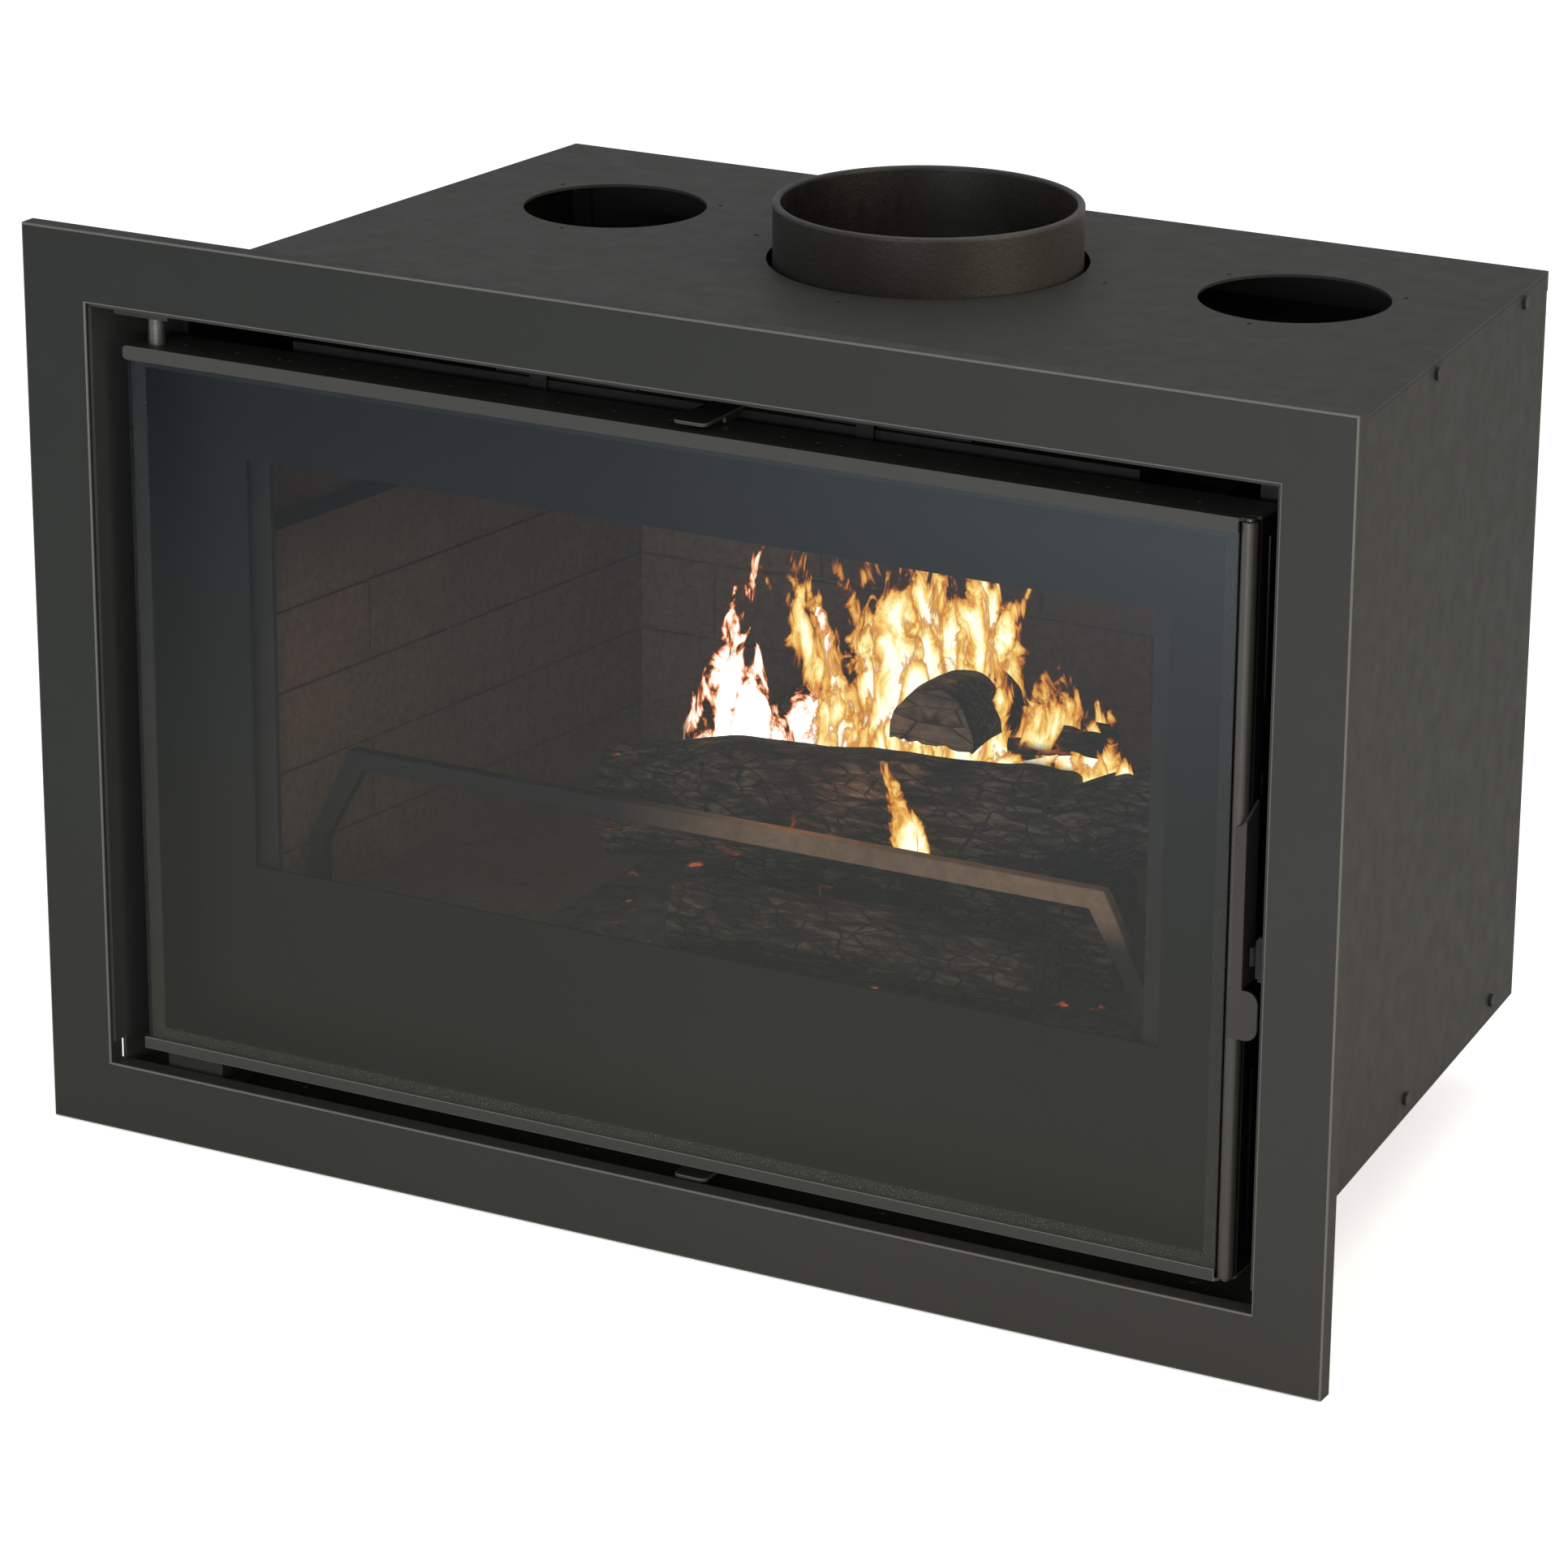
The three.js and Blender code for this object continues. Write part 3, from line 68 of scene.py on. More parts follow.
class Shader:
    """One node material: noise, ramps, mixes and bumps on object coordinates.

    In the material functions below, s is the shader that the function makes.
    """

    def __init__(self, name):
        self.material = bpy.data.materials.new(name)
        self.material.use_nodes = True
        self.nodes = self.material.node_tree.nodes
        self.links = self.material.node_tree.links
        self.surface = self.nodes["Principled BSDF"]
        self.place = self.nodes.new("ShaderNodeTexCoord").outputs["Object"]

    def link(self, source, target):
        self.links.new(source, target)

    def make(self, kind, inputs=None, **settings):
        node = self.nodes.new(kind)
        for key, value in settings.items():
            setattr(node, key, value)
        for key, value in (inputs or {}).items():
            if hasattr(value, "is_output"):
                self.link(value, node.inputs[key])
            else:
                node.inputs[key].default_value = value
        return node

    def stretched(self, scale, turn=(0, 0, 0)):
        """Object coordinates turned and scaled; a scale under 1 stretches a pattern on that axis."""
        return self.make("ShaderNodeMapping",
                         {"Vector": self.place, "Scale": scale, "Rotation": turn}).outputs[0]

    def noise(self, scale, detail=3.0, roughness=0.55, vector=None, distortion=0.0):
        return self.make("ShaderNodeTexNoise", {
            "Vector": vector or self.place, "Scale": scale, "Detail": detail,
            "Roughness": roughness, "Distortion": distortion}).outputs["Fac"]

    def cells(self, scale, vector=None, feature="F1", out="Distance"):
        return self.make("ShaderNodeTexVoronoi", {"Vector": vector or self.place, "Scale": scale},
                         feature=feature).outputs[out]

    def ramp(self, factor, stops, smooth="LINEAR"):
        """Colour ramp; a stop is its position and a colour or a grey level."""
        node = self.make("ShaderNodeValToRGB", {"Fac": factor})
        node.color_ramp.interpolation = smooth
        while len(node.color_ramp.elements) < len(stops):
            node.color_ramp.elements.new(0.5)
        for element, (spot, colour) in zip(node.color_ramp.elements, stops):
            element.position = spot
            if not hasattr(colour, "__len__"):
                colour = (colour, colour, colour)
            element.color = (*colour[:3], 1.0)
        return node.outputs["Color"]

    def mix(self, factor, first, second, blend="MIX"):
        node = self.make("ShaderNodeMix", data_type="RGBA", blend_type=blend)
        for socket, value in ((node.inputs[0], factor), (node.inputs[6], first), (node.inputs[7], second)):
            if hasattr(value, "is_output"):
                self.link(value, socket)
            elif socket.type == "RGBA":
                socket.default_value = (*value[:3], 1.0)
            else:
                socket.default_value = value
        return node.outputs[2]

    def tinted(self, base, colour):
        return self.mix(1.0, base, colour, "MULTIPLY")

    def math(self, operation, first, second=0.0):
        return self.make("ShaderNodeMath", {0: first, 1: second}, operation=operation).outputs[0]

    def plus(self, first, second):
        return self.math("ADD", first, second)

    def times(self, first, second):
        return self.math("MULTIPLY", first, second)

    def axis(self, name):
        """X, Y or Z of the object coordinates, in metres."""
        return self.make("ShaderNodeSeparateXYZ", {0: self.place}).outputs[name]

    def span(self, value, low, high, to_low=0.0, to_high=1.0):
        """Maps low..high to to_low..to_high, clamped at both ends."""
        return self.make("ShaderNodeMapRange", {
            0: value, 1: low, 2: high, 3: to_low, 4: to_high}).outputs[0]

    def bump(self, height, strength, distance):
        return self.make("ShaderNodeBump", {
            "Height": height, "Strength": strength, "Distance": distance}).outputs[0]

    def set(self, **inputs):
        """Sets or links inputs of the surface, with _ for a blank, and returns the material."""
        for key, value in inputs.items():
            socket = self.surface.inputs[key.replace("_", " ")]
            if hasattr(value, "is_output"):
                self.link(value, socket)
            elif socket.type == "RGBA":
                socket.default_value = (*value[:3], 1.0)
            else:
                socket.default_value = value
        return self.material


def scaled(colour, factor):
    return tuple(c * factor for c in colour)


# ------------------------------------------------------------------ materials

def powder_paint(name, colour, rough=0.5, grain=1.0, specular=0.16, painted_light_gradient=0.0):
    """Fine-textured matt stove paint: faint clouds, leathery grain, a few scuffs.

    The painted light gradient is painted shade that darkens and cools it towards the upper left, and painted
    warm light that warms it towards the bottom.
    """
    s = Shader(name)
    base = s.mix(s.ramp(s.noise(7.0, 4.0, 0.6), [(0.3, 0.0), (0.75, 1.0)]), scaled(colour, 0.95), colour)
    speck = s.noise(1300.0 / grain, 2.0, 0.6)
    base = s.mix(s.ramp(speck, [(0.35, 0.0), (0.8, 0.22)]), base, scaled(colour, 1.7))
    scuff = s.ramp(s.noise(38.0, 6.0, 0.72, s.stretched((1.0, 1.0, 3.0))), [(0.64, 0.0), (0.74, 0.35)])
    base = s.mix(scuff, base, scaled(colour, 1.1))
    # Painted shade darkens and cools the upper left, and painted warm light warms the bottom.
    if painted_light_gradient:
        lean = s.math("SUBTRACT", s.times(s.axis("X"), 0.75), s.times(s.axis("Z"), 0.8))
        painted_shade = s.span(lean, 0.12, -0.72, 0.0, painted_light_gradient)
        base = s.mix(painted_shade, base, s.tinted(base, (0.50, 0.56, 0.55)))
        warm = s.span(s.axis("Z"), 0.15, -0.06)
        base = s.mix(warm, base, s.tinted(base, (1.04, 0.98, 0.90)))
    height = s.plus(s.times(s.noise(950.0 / grain, 3.0, 0.6), 0.6),
                    s.times(s.cells(420.0 / grain), 0.5))
    return s.set(Base_Color=base, Metallic=0.0,
                 Roughness=s.ramp(s.noise(60.0, 4.0), [(0.3, rough - 0.04), (0.75, rough + 0.07)]),
                 Specular_IOR_Level=specular, Normal=s.bump(height, 0.16, 0.0002))


def smooth_enamel(name, colour, rough=0.35):
    """Even black enamel on the door's sheets, seen through the glass."""
    s = Shader(name)
    base = s.mix(s.ramp(s.noise(9.0, 3.0), [(0.3, 0.0), (0.7, 1.0)]), colour, scaled(colour, 1.25))
    return s.set(Base_Color=base, Specular_IOR_Level=0.2,
                 Roughness=s.ramp(s.noise(30.0), [(0.3, rough), (0.7, rough + 0.06)]))


def collar_metal(name):
    """Flue collar: orange-peel cast texture, brown, with painted shade on its left and painted light on its
    right, darker inside.
    """
    s = Shader(name)
    peel = s.noise(310.0, 4.0, 0.62, distortion=0.4)
    pits = s.cells(520.0)
    base = s.ramp(s.noise(26.0, 5.0, 0.65),
                  [(0.3, (0.021, 0.018, 0.015)), (0.72, (0.026, 0.022, 0.018))])
    base = s.mix(s.ramp(peel, [(0.35, 0.0), (0.72, 0.4)]), base, (0.045, 0.038, 0.032))
    # Painted shade on the collar's left and painted light on its right: the colour is scaled from dark to
    # bright across x.
    painted_light_ramp = s.span(s.axis("X"), -0.10, 0.085, 0.30, 1.45)
    painted_light_grey = s.make("ShaderNodeCombineColor", {0: painted_light_ramp, 1: painted_light_ramp, 2: painted_light_ramp}).outputs[0]
    base = s.tinted(base, painted_light_grey)
    # Darker on the inner face of the wall.
    collar_axis = (0.0, (FLUE_Y - ORIGIN_Y) / MM, 0.0)
    radius = s.make("ShaderNodeVectorMath", {0: s.stretched((1.0, 1.0, 0.0)), 1: collar_axis},
                    operation="DISTANCE").outputs["Value"]
    inner_darkening = s.span(radius, (FLUE_RADIUS - 1.5) / MM, (FLUE_RADIUS - 4.5) / MM)
    base = s.mix(inner_darkening, base, s.tinted(base, (0.42, 0.42, 0.42)))
    height = s.plus(peel, s.times(pits, 0.4))
    return s.set(Base_Color=base, Metallic=0.0,
                 Roughness=s.ramp(s.noise(120.0, 3.0), [(0.3, 0.40), (0.7, 0.5)]),
                 Specular_IOR_Level=0.5, Normal=s.bump(height, 0.4, 0.0004))


def soot_steel(name, colour=(0.008, 0.008, 0.008), rough=0.62):
    """Black heat-proof paint inside the casing and firebox."""
    s = Shader(name)
    dust = s.ramp(s.noise(22.0, 6.0, 0.7), [(0.4, 0.0), (0.75, 1.0)])
    base = s.mix(dust, colour, scaled(colour, 2.1))
    rust = s.ramp(s.noise(75.0, 5.0, 0.7), [(0.63, 0.0), (0.78, 0.4)])
    base = s.mix(rust, base, (0.03, 0.018, 0.011))
    return s.set(Base_Color=base, Metallic=0.0, Specular_IOR_Level=0.25,
                 Roughness=s.ramp(s.noise(48.0), [(0.3, rough - 0.08), (0.7, rough + 0.12)]),
                 Normal=s.bump(s.noise(700.0, 3.0), 0.25, 0.0003))


def brick_board(name):
    """Moulded vermiculite: flaky grain, smoked towards the flue, ash near the hearth."""
    s = Shader(name)
    flakes = s.cells(260.0, out="Color")
    grain = s.noise(190.0, 5.0, 0.7)
    base = s.mix(s.ramp(grain, [(0.3, 0.0), (0.7, 1.0)]), (0.10, 0.064, 0.046), (0.17, 0.115, 0.085))
    base = s.mix(0.22, base, s.mix(0.8, flakes, (0.10, 0.08, 0.06)), "SOFT_LIGHT")
    clouds = s.span(s.noise(9.0, 5.0), 0.3, 0.7, -0.3, 0.3)
    smoke = s.ramp(s.plus(s.span(s.axis("Z"), 0.12, 0.40), clouds), [(0.35, 0.0), (1.0, 0.85)])
    base = s.mix(smoke, base, (0.045, 0.03, 0.022))
    drift = s.span(s.noise(40.0, 5.0), 0.3, 0.7, -0.4, 0.2)
    ash = s.ramp(s.plus(s.span(s.axis("Z"), 0.15, 0.07), drift), [(0.45, 0.0), (1.0, 0.7)])
    base = s.mix(ash, base, (0.13, 0.12, 0.11))
    height = s.plus(s.times(grain, 0.7), s.cells(260.0))
    return s.set(Base_Color=base, Roughness=0.93, Specular_IOR_Level=0.15,
                 Normal=s.bump(height, 0.5, 0.0008))


def heated_bar(name):
    """Black bar, bronzed by the heat over the fire and still black at its left end and legs."""
    s = Shader(name)
    scale = s.noise(140.0, 5.0, 0.65)
    bronze = s.ramp(scale, [(0.3, (0.18, 0.105, 0.066)), (0.72, (0.30, 0.19, 0.125))])
    warm = s.times(s.span(s.axis("X"), -0.07, 0.03), s.span(s.axis("Z"), 0.166, 0.184))
    patch = s.times(warm, s.span(s.noise(12.0, 3.0), 0.25, 0.6, 0.7, 1.0))
    base = s.mix(patch, (0.009, 0.008, 0.008), bronze)
    return s.set(Base_Color=base, Metallic=0.0, Specular_IOR_Level=0.2,
                 Roughness=s.ramp(scale, [(0.3, 0.5), (0.7, 0.62)]), Normal=s.bump(scale, 0.25, 0.0005))


def cast_iron(name):
    """Raw sand casting, browned in patches by the heat."""
    s = Shader(name)
    sand = s.noise(420.0, 4.0, 0.65)
    base = s.ramp(s.noise(35.0, 5.0, 0.65), [(0.3, (0.02, 0.016, 0.013)), (0.7, (0.055, 0.042, 0.033))])
    heat = s.ramp(s.noise(90.0, 5.0, 0.7), [(0.55, 0.0), (0.75, 0.7)])
    base = s.mix(heat, base, (0.10, 0.075, 0.058))
    return s.set(Base_Color=base, Metallic=0.3,
                 Roughness=s.ramp(sand, [(0.3, 0.5), (0.7, 0.75)]),
                 Normal=s.bump(sand, 0.5, 0.0006))


def zinc(name):
    """Zinc-plated steel with faint crystal cells and drawing marks."""
    s = Shader(name)
    spangle = s.cells(130.0, out="Color")
    tone = s.mix(0.1, (0.30, 0.30, 0.295), spangle)
    streak = s.noise(160.0, 3.0, 0.6, s.stretched((0.2, 1.0, 1.0)))
    tone = s.mix(s.ramp(streak, [(0.3, 0.0), (0.75, 0.5)]), tone, (0.17, 0.165, 0.155))
    return s.set(Base_Color=tone, Metallic=0.85,
                 Roughness=s.ramp(streak, [(0.3, 0.32), (0.7, 0.5)]),
                 Normal=s.bump(streak, 0.08, 0.0003))


def pale_pin(name):
    """Turned hinge pin, plain steel with a light grey burnish."""
    s = Shader(name)
    rings = s.noise(220.0, 3.0, 0.6, s.stretched((0.1, 0.1, 6.0)))
    tone = s.ramp(rings, [(0.3, (0.07, 0.066, 0.062)), (0.7, (0.13, 0.124, 0.116))])
    return s.set(Base_Color=tone, Metallic=0.7, Roughness=s.ramp(rings, [(0.3, 0.34), (0.7, 0.48)]),
                 Normal=s.bump(rings, 0.1, 0.0002))


def seal_rope(name):
    """Woven glass-fibre rope."""
    s = Shader(name)
    weave = s.make("ShaderNodeTexWave", {"Vector": s.stretched((1.0, 1.0, 1.0), (0.0, math.radians(38), 0.0)),
                                         "Scale": 330.0, "Distortion": 1.5, "Detail": 2.0}).outputs["Fac"]
    fuzz = s.noise(900.0, 3.0)
    base = s.mix(weave, (0.012, 0.012, 0.012), (0.05, 0.048, 0.045))
    height = s.plus(weave, s.times(fuzz, 0.4))
    return s.set(Base_Color=base, Roughness=0.95, Normal=s.bump(height, 0.7, 0.0007))


def door_pane(name):
    """Ceramic glass with a painted bluish reflection of the room, strongest near its upper right corner.

    The painted reflection is a faint even glow of both faces, over a grey filter with a painted
    gradient, warmer below and bluer above. low_edge and high_edge are the glow's levels from left
    to right along the pane's lower and upper edge, and rise blends the two.
    """
    s = Shader(name)
    height = s.span(s.axis("Z"), 0.0, 0.46)
    # Grey glass filter with a painted gradient, warmer below and bluish above, as the reflection.
    tint = s.ramp(height, [(0.0, (0.62, 0.61, 0.58)), (1.0, (0.60, 0.62, 0.64))])
    # Painted reflection: the emission glows as the room's reflection, strongest towards the upper right.
    painted_reflection = s.ramp(height, [(0.1, (0.97, 1.0, 0.83)), (0.5, (0.92, 1.0, 0.95)), (1.0, (0.76, 0.90, 1.0))])
    low_edge = s.span(s.axis("X"), -0.37, 0.02, 0.0165, 0.0196)
    rise = s.math("POWER", s.span(s.axis("Z"), 0.12, 0.44), 1.5)
    high_edge = s.plus(s.span(s.axis("X"), -0.37, 0.02, 0.0088, 0.0188),
                       s.times(rise, s.span(s.axis("X"), -0.02, 0.38, 0.0, 0.0185)))
    level = s.plus(s.times(low_edge, s.math("SUBTRACT", 1.0, rise)),
                   s.times(high_edge, rise))
    cloud = s.span(s.noise(3.0, 2.0), 0.3, 0.7, 0.97, 1.03)
    return s.set(Base_Color=tint, Transmission_Weight=1.0, IOR=1.04, Roughness=0.0,
                 Emission_Color=painted_reflection, Emission_Strength=s.times(level, cloud))


def bark(name):
    """Charred bark: furrows along the log, cross cracks, embers in the gaps.

    The furrows are darker; the brown ridges are partly the wood's colour and partly a painted highlight.
    """
    s = Shader(name)
    along = s.stretched((0.22, 1.0, 1.0), (0.0, 0.12, 0.0))
    furrow = s.noise(175.0, 6.0, 0.68, along, 0.5)
    plates = s.cells(115.0, s.stretched((0.42, 1.0, 1.0), (0.0, 0.12, 0.0)), "DISTANCE_TO_EDGE")
    grit = s.noise(520.0, 4.0, 0.7)
    # Darker in the furrows; brown ridges, partly the wood's colour and partly a painted highlight.
    base = s.ramp(furrow, [(0.38, (0.006, 0.0045, 0.004)), (0.50, (0.055, 0.037, 0.026)),
                           (0.66, (0.22, 0.155, 0.112))])
    base = s.mix(s.ramp(grit, [(0.4, 0.0), (0.7, 0.45)]), base, (0.012, 0.009, 0.008))
    base = s.mix(s.ramp(s.noise(16.0, 5.0), [(0.44, 0.0), (0.66, 0.85)]), base, (0.008, 0.0065, 0.006))
    gap = s.ramp(plates, [(0.0, 1.0), (0.07, 0.0)])
    hot = s.ramp(s.noise(24.0, 3.0), [(0.66, 0.0), (0.76, 1.0)])
    glow = s.times(gap, hot)
    base = s.mix(gap, base, (0.004, 0.0035, 0.0035))
    crust = s.times(s.ramp(plates, [(0.0, 0.0), (0.16, 1.0)]), 0.35)
    height = s.plus(s.plus(furrow, crust), s.times(grit, 0.25))
    return s.set(Base_Color=base, Roughness=0.92, Specular_IOR_Level=0.15,
                 Emission_Color=(1.0, 0.16, 0.02), Emission_Strength=s.times(glow, 0.7),
                 Normal=s.bump(height, 0.9, 0.004))


def cut_wood(name):
    """Sawn ends of the logs: fine fibres, drying cracks, scorched in patches."""
    s = Shader(name)
    fibre = s.noise(260.0, 5.0, 0.65, s.stretched((0.25, 1.0, 1.0), (0.0, 0.15, 0.0)), 0.3)
    crack = s.cells(85.0, s.stretched((0.3, 1.0, 1.3), (0.0, 0.15, 0.0)), "DISTANCE_TO_EDGE")
    base = s.ramp(fibre, [(0.3, (0.085, 0.055, 0.038)), (0.72, (0.21, 0.145, 0.10))])
    base = s.mix(s.ramp(s.noise(30.0, 5.0), [(0.46, 0.0), (0.68, 0.85)]), base, (0.014, 0.010, 0.009))
    base = s.mix(s.ramp(crack, [(0.0, 1.0), (0.05, 0.0)]), base, (0.006, 0.005, 0.004))
    return s.set(Base_Color=base, Roughness=0.88, Specular_IOR_Level=0.2,
                 Normal=s.bump(fibre, 0.5, 0.0015))


def ember_bed(name):
    """Grey ash over black coals with glowing patches."""
    s = Shader(name)
    lumps = s.noise(70.0, 6.0, 0.7)
    base = s.ramp(lumps, [(0.35, (0.012, 0.010, 0.009)), (0.7, (0.10, 0.09, 0.085))])
    glow = s.ramp(s.noise(46.0, 5.0, 0.6), [(0.63, 0.0), (0.74, 1.0)])
    return s.set(Base_Color=base, Roughness=0.95, Emission_Color=(1.0, 0.2, 0.03),
                 Emission_Strength=s.times(glow, 0.7), Normal=s.bump(lumps, 0.7, 0.002))


def flame_gas(name, hot=0.0):
    """Flame sheet: licks from stretched noise, thinning upwards, pale core and red fringe.

    The UV map runs across and along each tongue. A hot flame is brighter and nearly white.
    """
    s = Shader(name)
    tongue = s.nodes.new("ShaderNodeTexCoord").outputs["UV"]
    split = s.make("ShaderNodeSeparateXYZ", {0: tongue})
    across, along = split.outputs["X"], split.outputs["Y"]
    big = s.noise(24.0, 2.0, 0.5, s.stretched((1.0, 1.0, 0.40)), 1.4)
    small = s.noise(70.0, 4.0, 0.62, s.stretched((1.0, 1.0, 0.45)), 1.6)
    lick = s.plus(s.span(big, 0.25, 0.75, -0.62, 0.62), s.span(small, 0.25, 0.75, -0.46, 0.46))
    middle = s.math("ABSOLUTE", s.math("SUBTRACT", s.times(across, 2.0), 1.0))
    edge = s.math("SUBTRACT", 1.0, s.math("POWER", middle, 2.2))
    rise = s.times(s.math("POWER", along, 1.3), 1.05)
    body = s.plus(s.math("SUBTRACT", s.times(edge, 0.95), rise), lick)
    alpha = s.ramp(body, [(0.10, 0.0), (0.34 - 0.12 * hot, 0.96)], "EASE")
    foot = s.ramp(along, [(0.0, 0.0), (0.07, 1.0)])
    alpha = s.times(alpha, s.times(foot, s.ramp(edge, [(0.0, 0.0), (0.22, 1.0)])))
    colour = s.ramp(body, [(0.10, (0.55, 0.05, 0.006)), (0.24, (1.0, 0.27, 0.02)),
                           (0.42, (1.0, 0.54, 0.09)), (0.64, (1.0, 0.79, 0.30)), (0.88, (1.0, 0.93, 0.70))])
    if hot:
        colour = s.mix(s.ramp(body, [(0.2, 0.0), (0.42, hot)]), colour, (1.0, 0.98, 0.93))
    power = s.ramp(body, [(0.08, 0.22), (0.45, 0.95), (0.85, 1.35)])
    s.material.surface_render_method = "BLENDED"
    return s.set(Base_Color=(0.0, 0.0, 0.0), Roughness=1.0, Specular_IOR_Level=0.0, Alpha=alpha,
                 Emission_Color=colour, Emission_Strength=s.times(power, 1.5 + 1.2 * hot))


ANTHRACITE = (0.036, 0.0365, 0.034)
# The frame paint carries painted shade at its upper left and painted warm light at its bottom.
PAINT = powder_paint("anthracite_frame_paint", ANTHRACITE, painted_light_gradient=1.0)
# Lighter paint for the rounded folds of the frame and casing: painted highlight lines along their edges.
PAINT_FOLD_HIGHLIGHT = powder_paint("anthracite_frame_fold_highlight", (0.118, 0.112, 0.098), 0.36, specular=0.4)
CASING = powder_paint("anthracite_casing_paint", ANTHRACITE, 0.55, 1.15)
CASING_FOLD_HIGHLIGHT = powder_paint("anthracite_casing_fold_highlight", (0.085, 0.082, 0.074), 0.4, specular=0.4)
MATERIALS = {
    "anthracite_paint": PAINT,
    "casing_paint": CASING,
    "black_steel": soot_steel("heat_proof_black"),
    "vermiculite": brick_board("vermiculite_bricks"),
    "cast_iron": cast_iron("raw_cast_iron"),
    "collar_iron": collar_metal("collar_casting"),
    "zinc_plate": zinc("zinc_plating"),
    "ceramic_glass": door_pane("ceramic_pane"),
    "glass_rope": seal_rope("glass_fibre_rope"),
}
STRIP_PAINT = powder_paint("door_strip_paint", (0.037, 0.0365, 0.033), 0.38, 0.8, 0.35)
HOT_STEEL = soot_steel("heat_bronzed_steel", (0.05, 0.032, 0.024), 0.6)
SPECIAL = {
    "door_frame": smooth_enamel("door_enamel", (0.0042, 0.0045, 0.0045)),
    "hinge_pin_upper": pale_pin("turned_pin"),
    "log_retainer": heated_bar("heated_bar"),
    "door_top_strip": STRIP_PAINT,
    "door_bottom_strip": STRIP_PAINT,
    # Brownish, slightly glossier paint on the latch rod.
    "latch_rod": powder_paint("brown_rod_paint", (0.040, 0.035, 0.028), 0.30, 0.8, 0.6),
    "airwash_slide_guide": soot_steel("guide_black"),
    "hinge_bracket_upper": soot_steel("bracket_black", (0.016, 0.016, 0.015), 0.5),
    "door_handle": powder_paint("handle_paint", (0.037, 0.0345, 0.032), 0.38, 0.8, 0.3),
    "firebox_side_left": HOT_STEEL,
    "firebox_side_right": HOT_STEEL,
    "hearth_plate": HOT_STEEL,
    "firebox_front": soot_steel("firebox_front_black", (0.013, 0.011, 0.010), 0.6),
}
SCREW_BLACK = soot_steel("blackened_screw", (0.02, 0.02, 0.02), 0.45)
SPECIAL.update((n, SCREW_BLACK) for n in NODES if n.startswith("side_screw"))
# The rounded edges of these slots take a material of their own, but not on the plain nodes: lighter paint as
# painted highlight lines on the folds of the frame and casing, and a dark ground edge on the pane.
PANE_EDGE = soot_steel("ground_pane_edge", (0.010, 0.011, 0.011), 0.3)
EDGE_OF = {"anthracite_paint": PAINT_FOLD_HIGHLIGHT, "casing_paint": CASING_FOLD_HIGHLIGHT, "ceramic_glass": PANE_EDGE}
PLAIN_EDGES = {"door_frame", "door_handle", "latch_rod", "hinge_bracket_upper", "hinge_bracket_lower"}


def finish_of(name):
    """The node's own finish if it has one, or else the finish of its slot."""
    return SPECIAL.get(name) or MATERIALS[SLOT_OF[name]]


# ------------------------------------------------------------------ mesh helpers

def add_piece(name, mesh, body, material=None, replaces=()):
    """Puts a mesh into the scene as a piece of its body. None keeps the mesh's materials."""
    piece = bpy.data.objects.new(name, mesh)
    bpy.context.scene.collection.objects.link(piece)
    if material is not None:
        mesh.materials.clear()
        mesh.materials.append(material)
    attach(piece, body)
    if replaces:
        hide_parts(*replaces)


def mesh_from(name, bm):
    """Turns a bmesh into a mesh and frees it."""
    mesh = bpy.data.meshes.new(name)
    bm.to_mesh(mesh)
    bm.free()
    return mesh


def shade(mesh, angle):
    """Smooth shading with sharp edges where faces turn by more than angle degrees."""
    mesh.shade_smooth()
    mesh.set_sharp_from_angle(angle=math.radians(angle))


BEVEL_WEIGHT = "bevel_weight_edge"


def with_bevel(mesh, name, width, segments, angle, keep_sharp):
    """Rounds the edges that turn by more than angle. The new faces take the last material."""
    if BEVEL_WEIGHT not in mesh.attributes:
        mesh.attributes.new(BEVEL_WEIGHT, "FLOAT", "EDGE")
    bm = bmesh.new()
    bm.from_mesh(mesh)
    weight = bm.edges.layers.float[BEVEL_WEIGHT]
    for edge in bm.edges:
        turns = len(edge.link_faces) == 2 and edge.calc_face_angle(0.0) > math.radians(angle)
        edge[weight] = 1.0 if turns and not keep_sharp(edge) else 0.0
    bm.to_mesh(mesh)
    bm.free()
    carrier = bpy.data.objects.new(name, mesh)
    bpy.context.scene.collection.objects.link(carrier)
    bevel = carrier.modifiers.new("fold", "BEVEL")
    bevel.width = width / MM
    bevel.segments = segments
    bevel.limit_method = "WEIGHT"
    bevel.use_clamp_overlap = True
    bevel.harden_normals = True
    bevel.material = len(mesh.materials) - 1
    deps = bpy.context.evaluated_depsgraph_get()
    made = bpy.data.meshes.new_from_object(carrier.evaluated_get(deps))
    made.name = name
    bpy.data.objects.remove(carrier)
    return made


FRAME_HALF_X, FRAME_HALF_Z = FRAME_WIDTH / 2 / MM, FRAME_HEIGHT / 2 / MM
FRAME_MID_Z = (FRAME_BOTTOM + FRAME_HEIGHT / 2) / MM
MITRE_SLACK = 0.0009
MITRE_REACH = 0.00012


def mitre_side(point):
    """Distance in metres from the 45 degree mitre planes of the front frame, signed."""
    return (FRAME_HALF_X - abs(point.x)) - (FRAME_HALF_Z - abs(point.z - FRAME_MID_Z))


def on_mitre(edge):
    """Whether an edge of a frame rail lies in a mitre plane from end to end."""
    first, last = (v.co for v in edge.verts)
    return all(abs(mitre_side(point)) < MITRE_SLACK for point in (first, last, (first + last) / 2))


def on_no_mitre(edge):
    return False


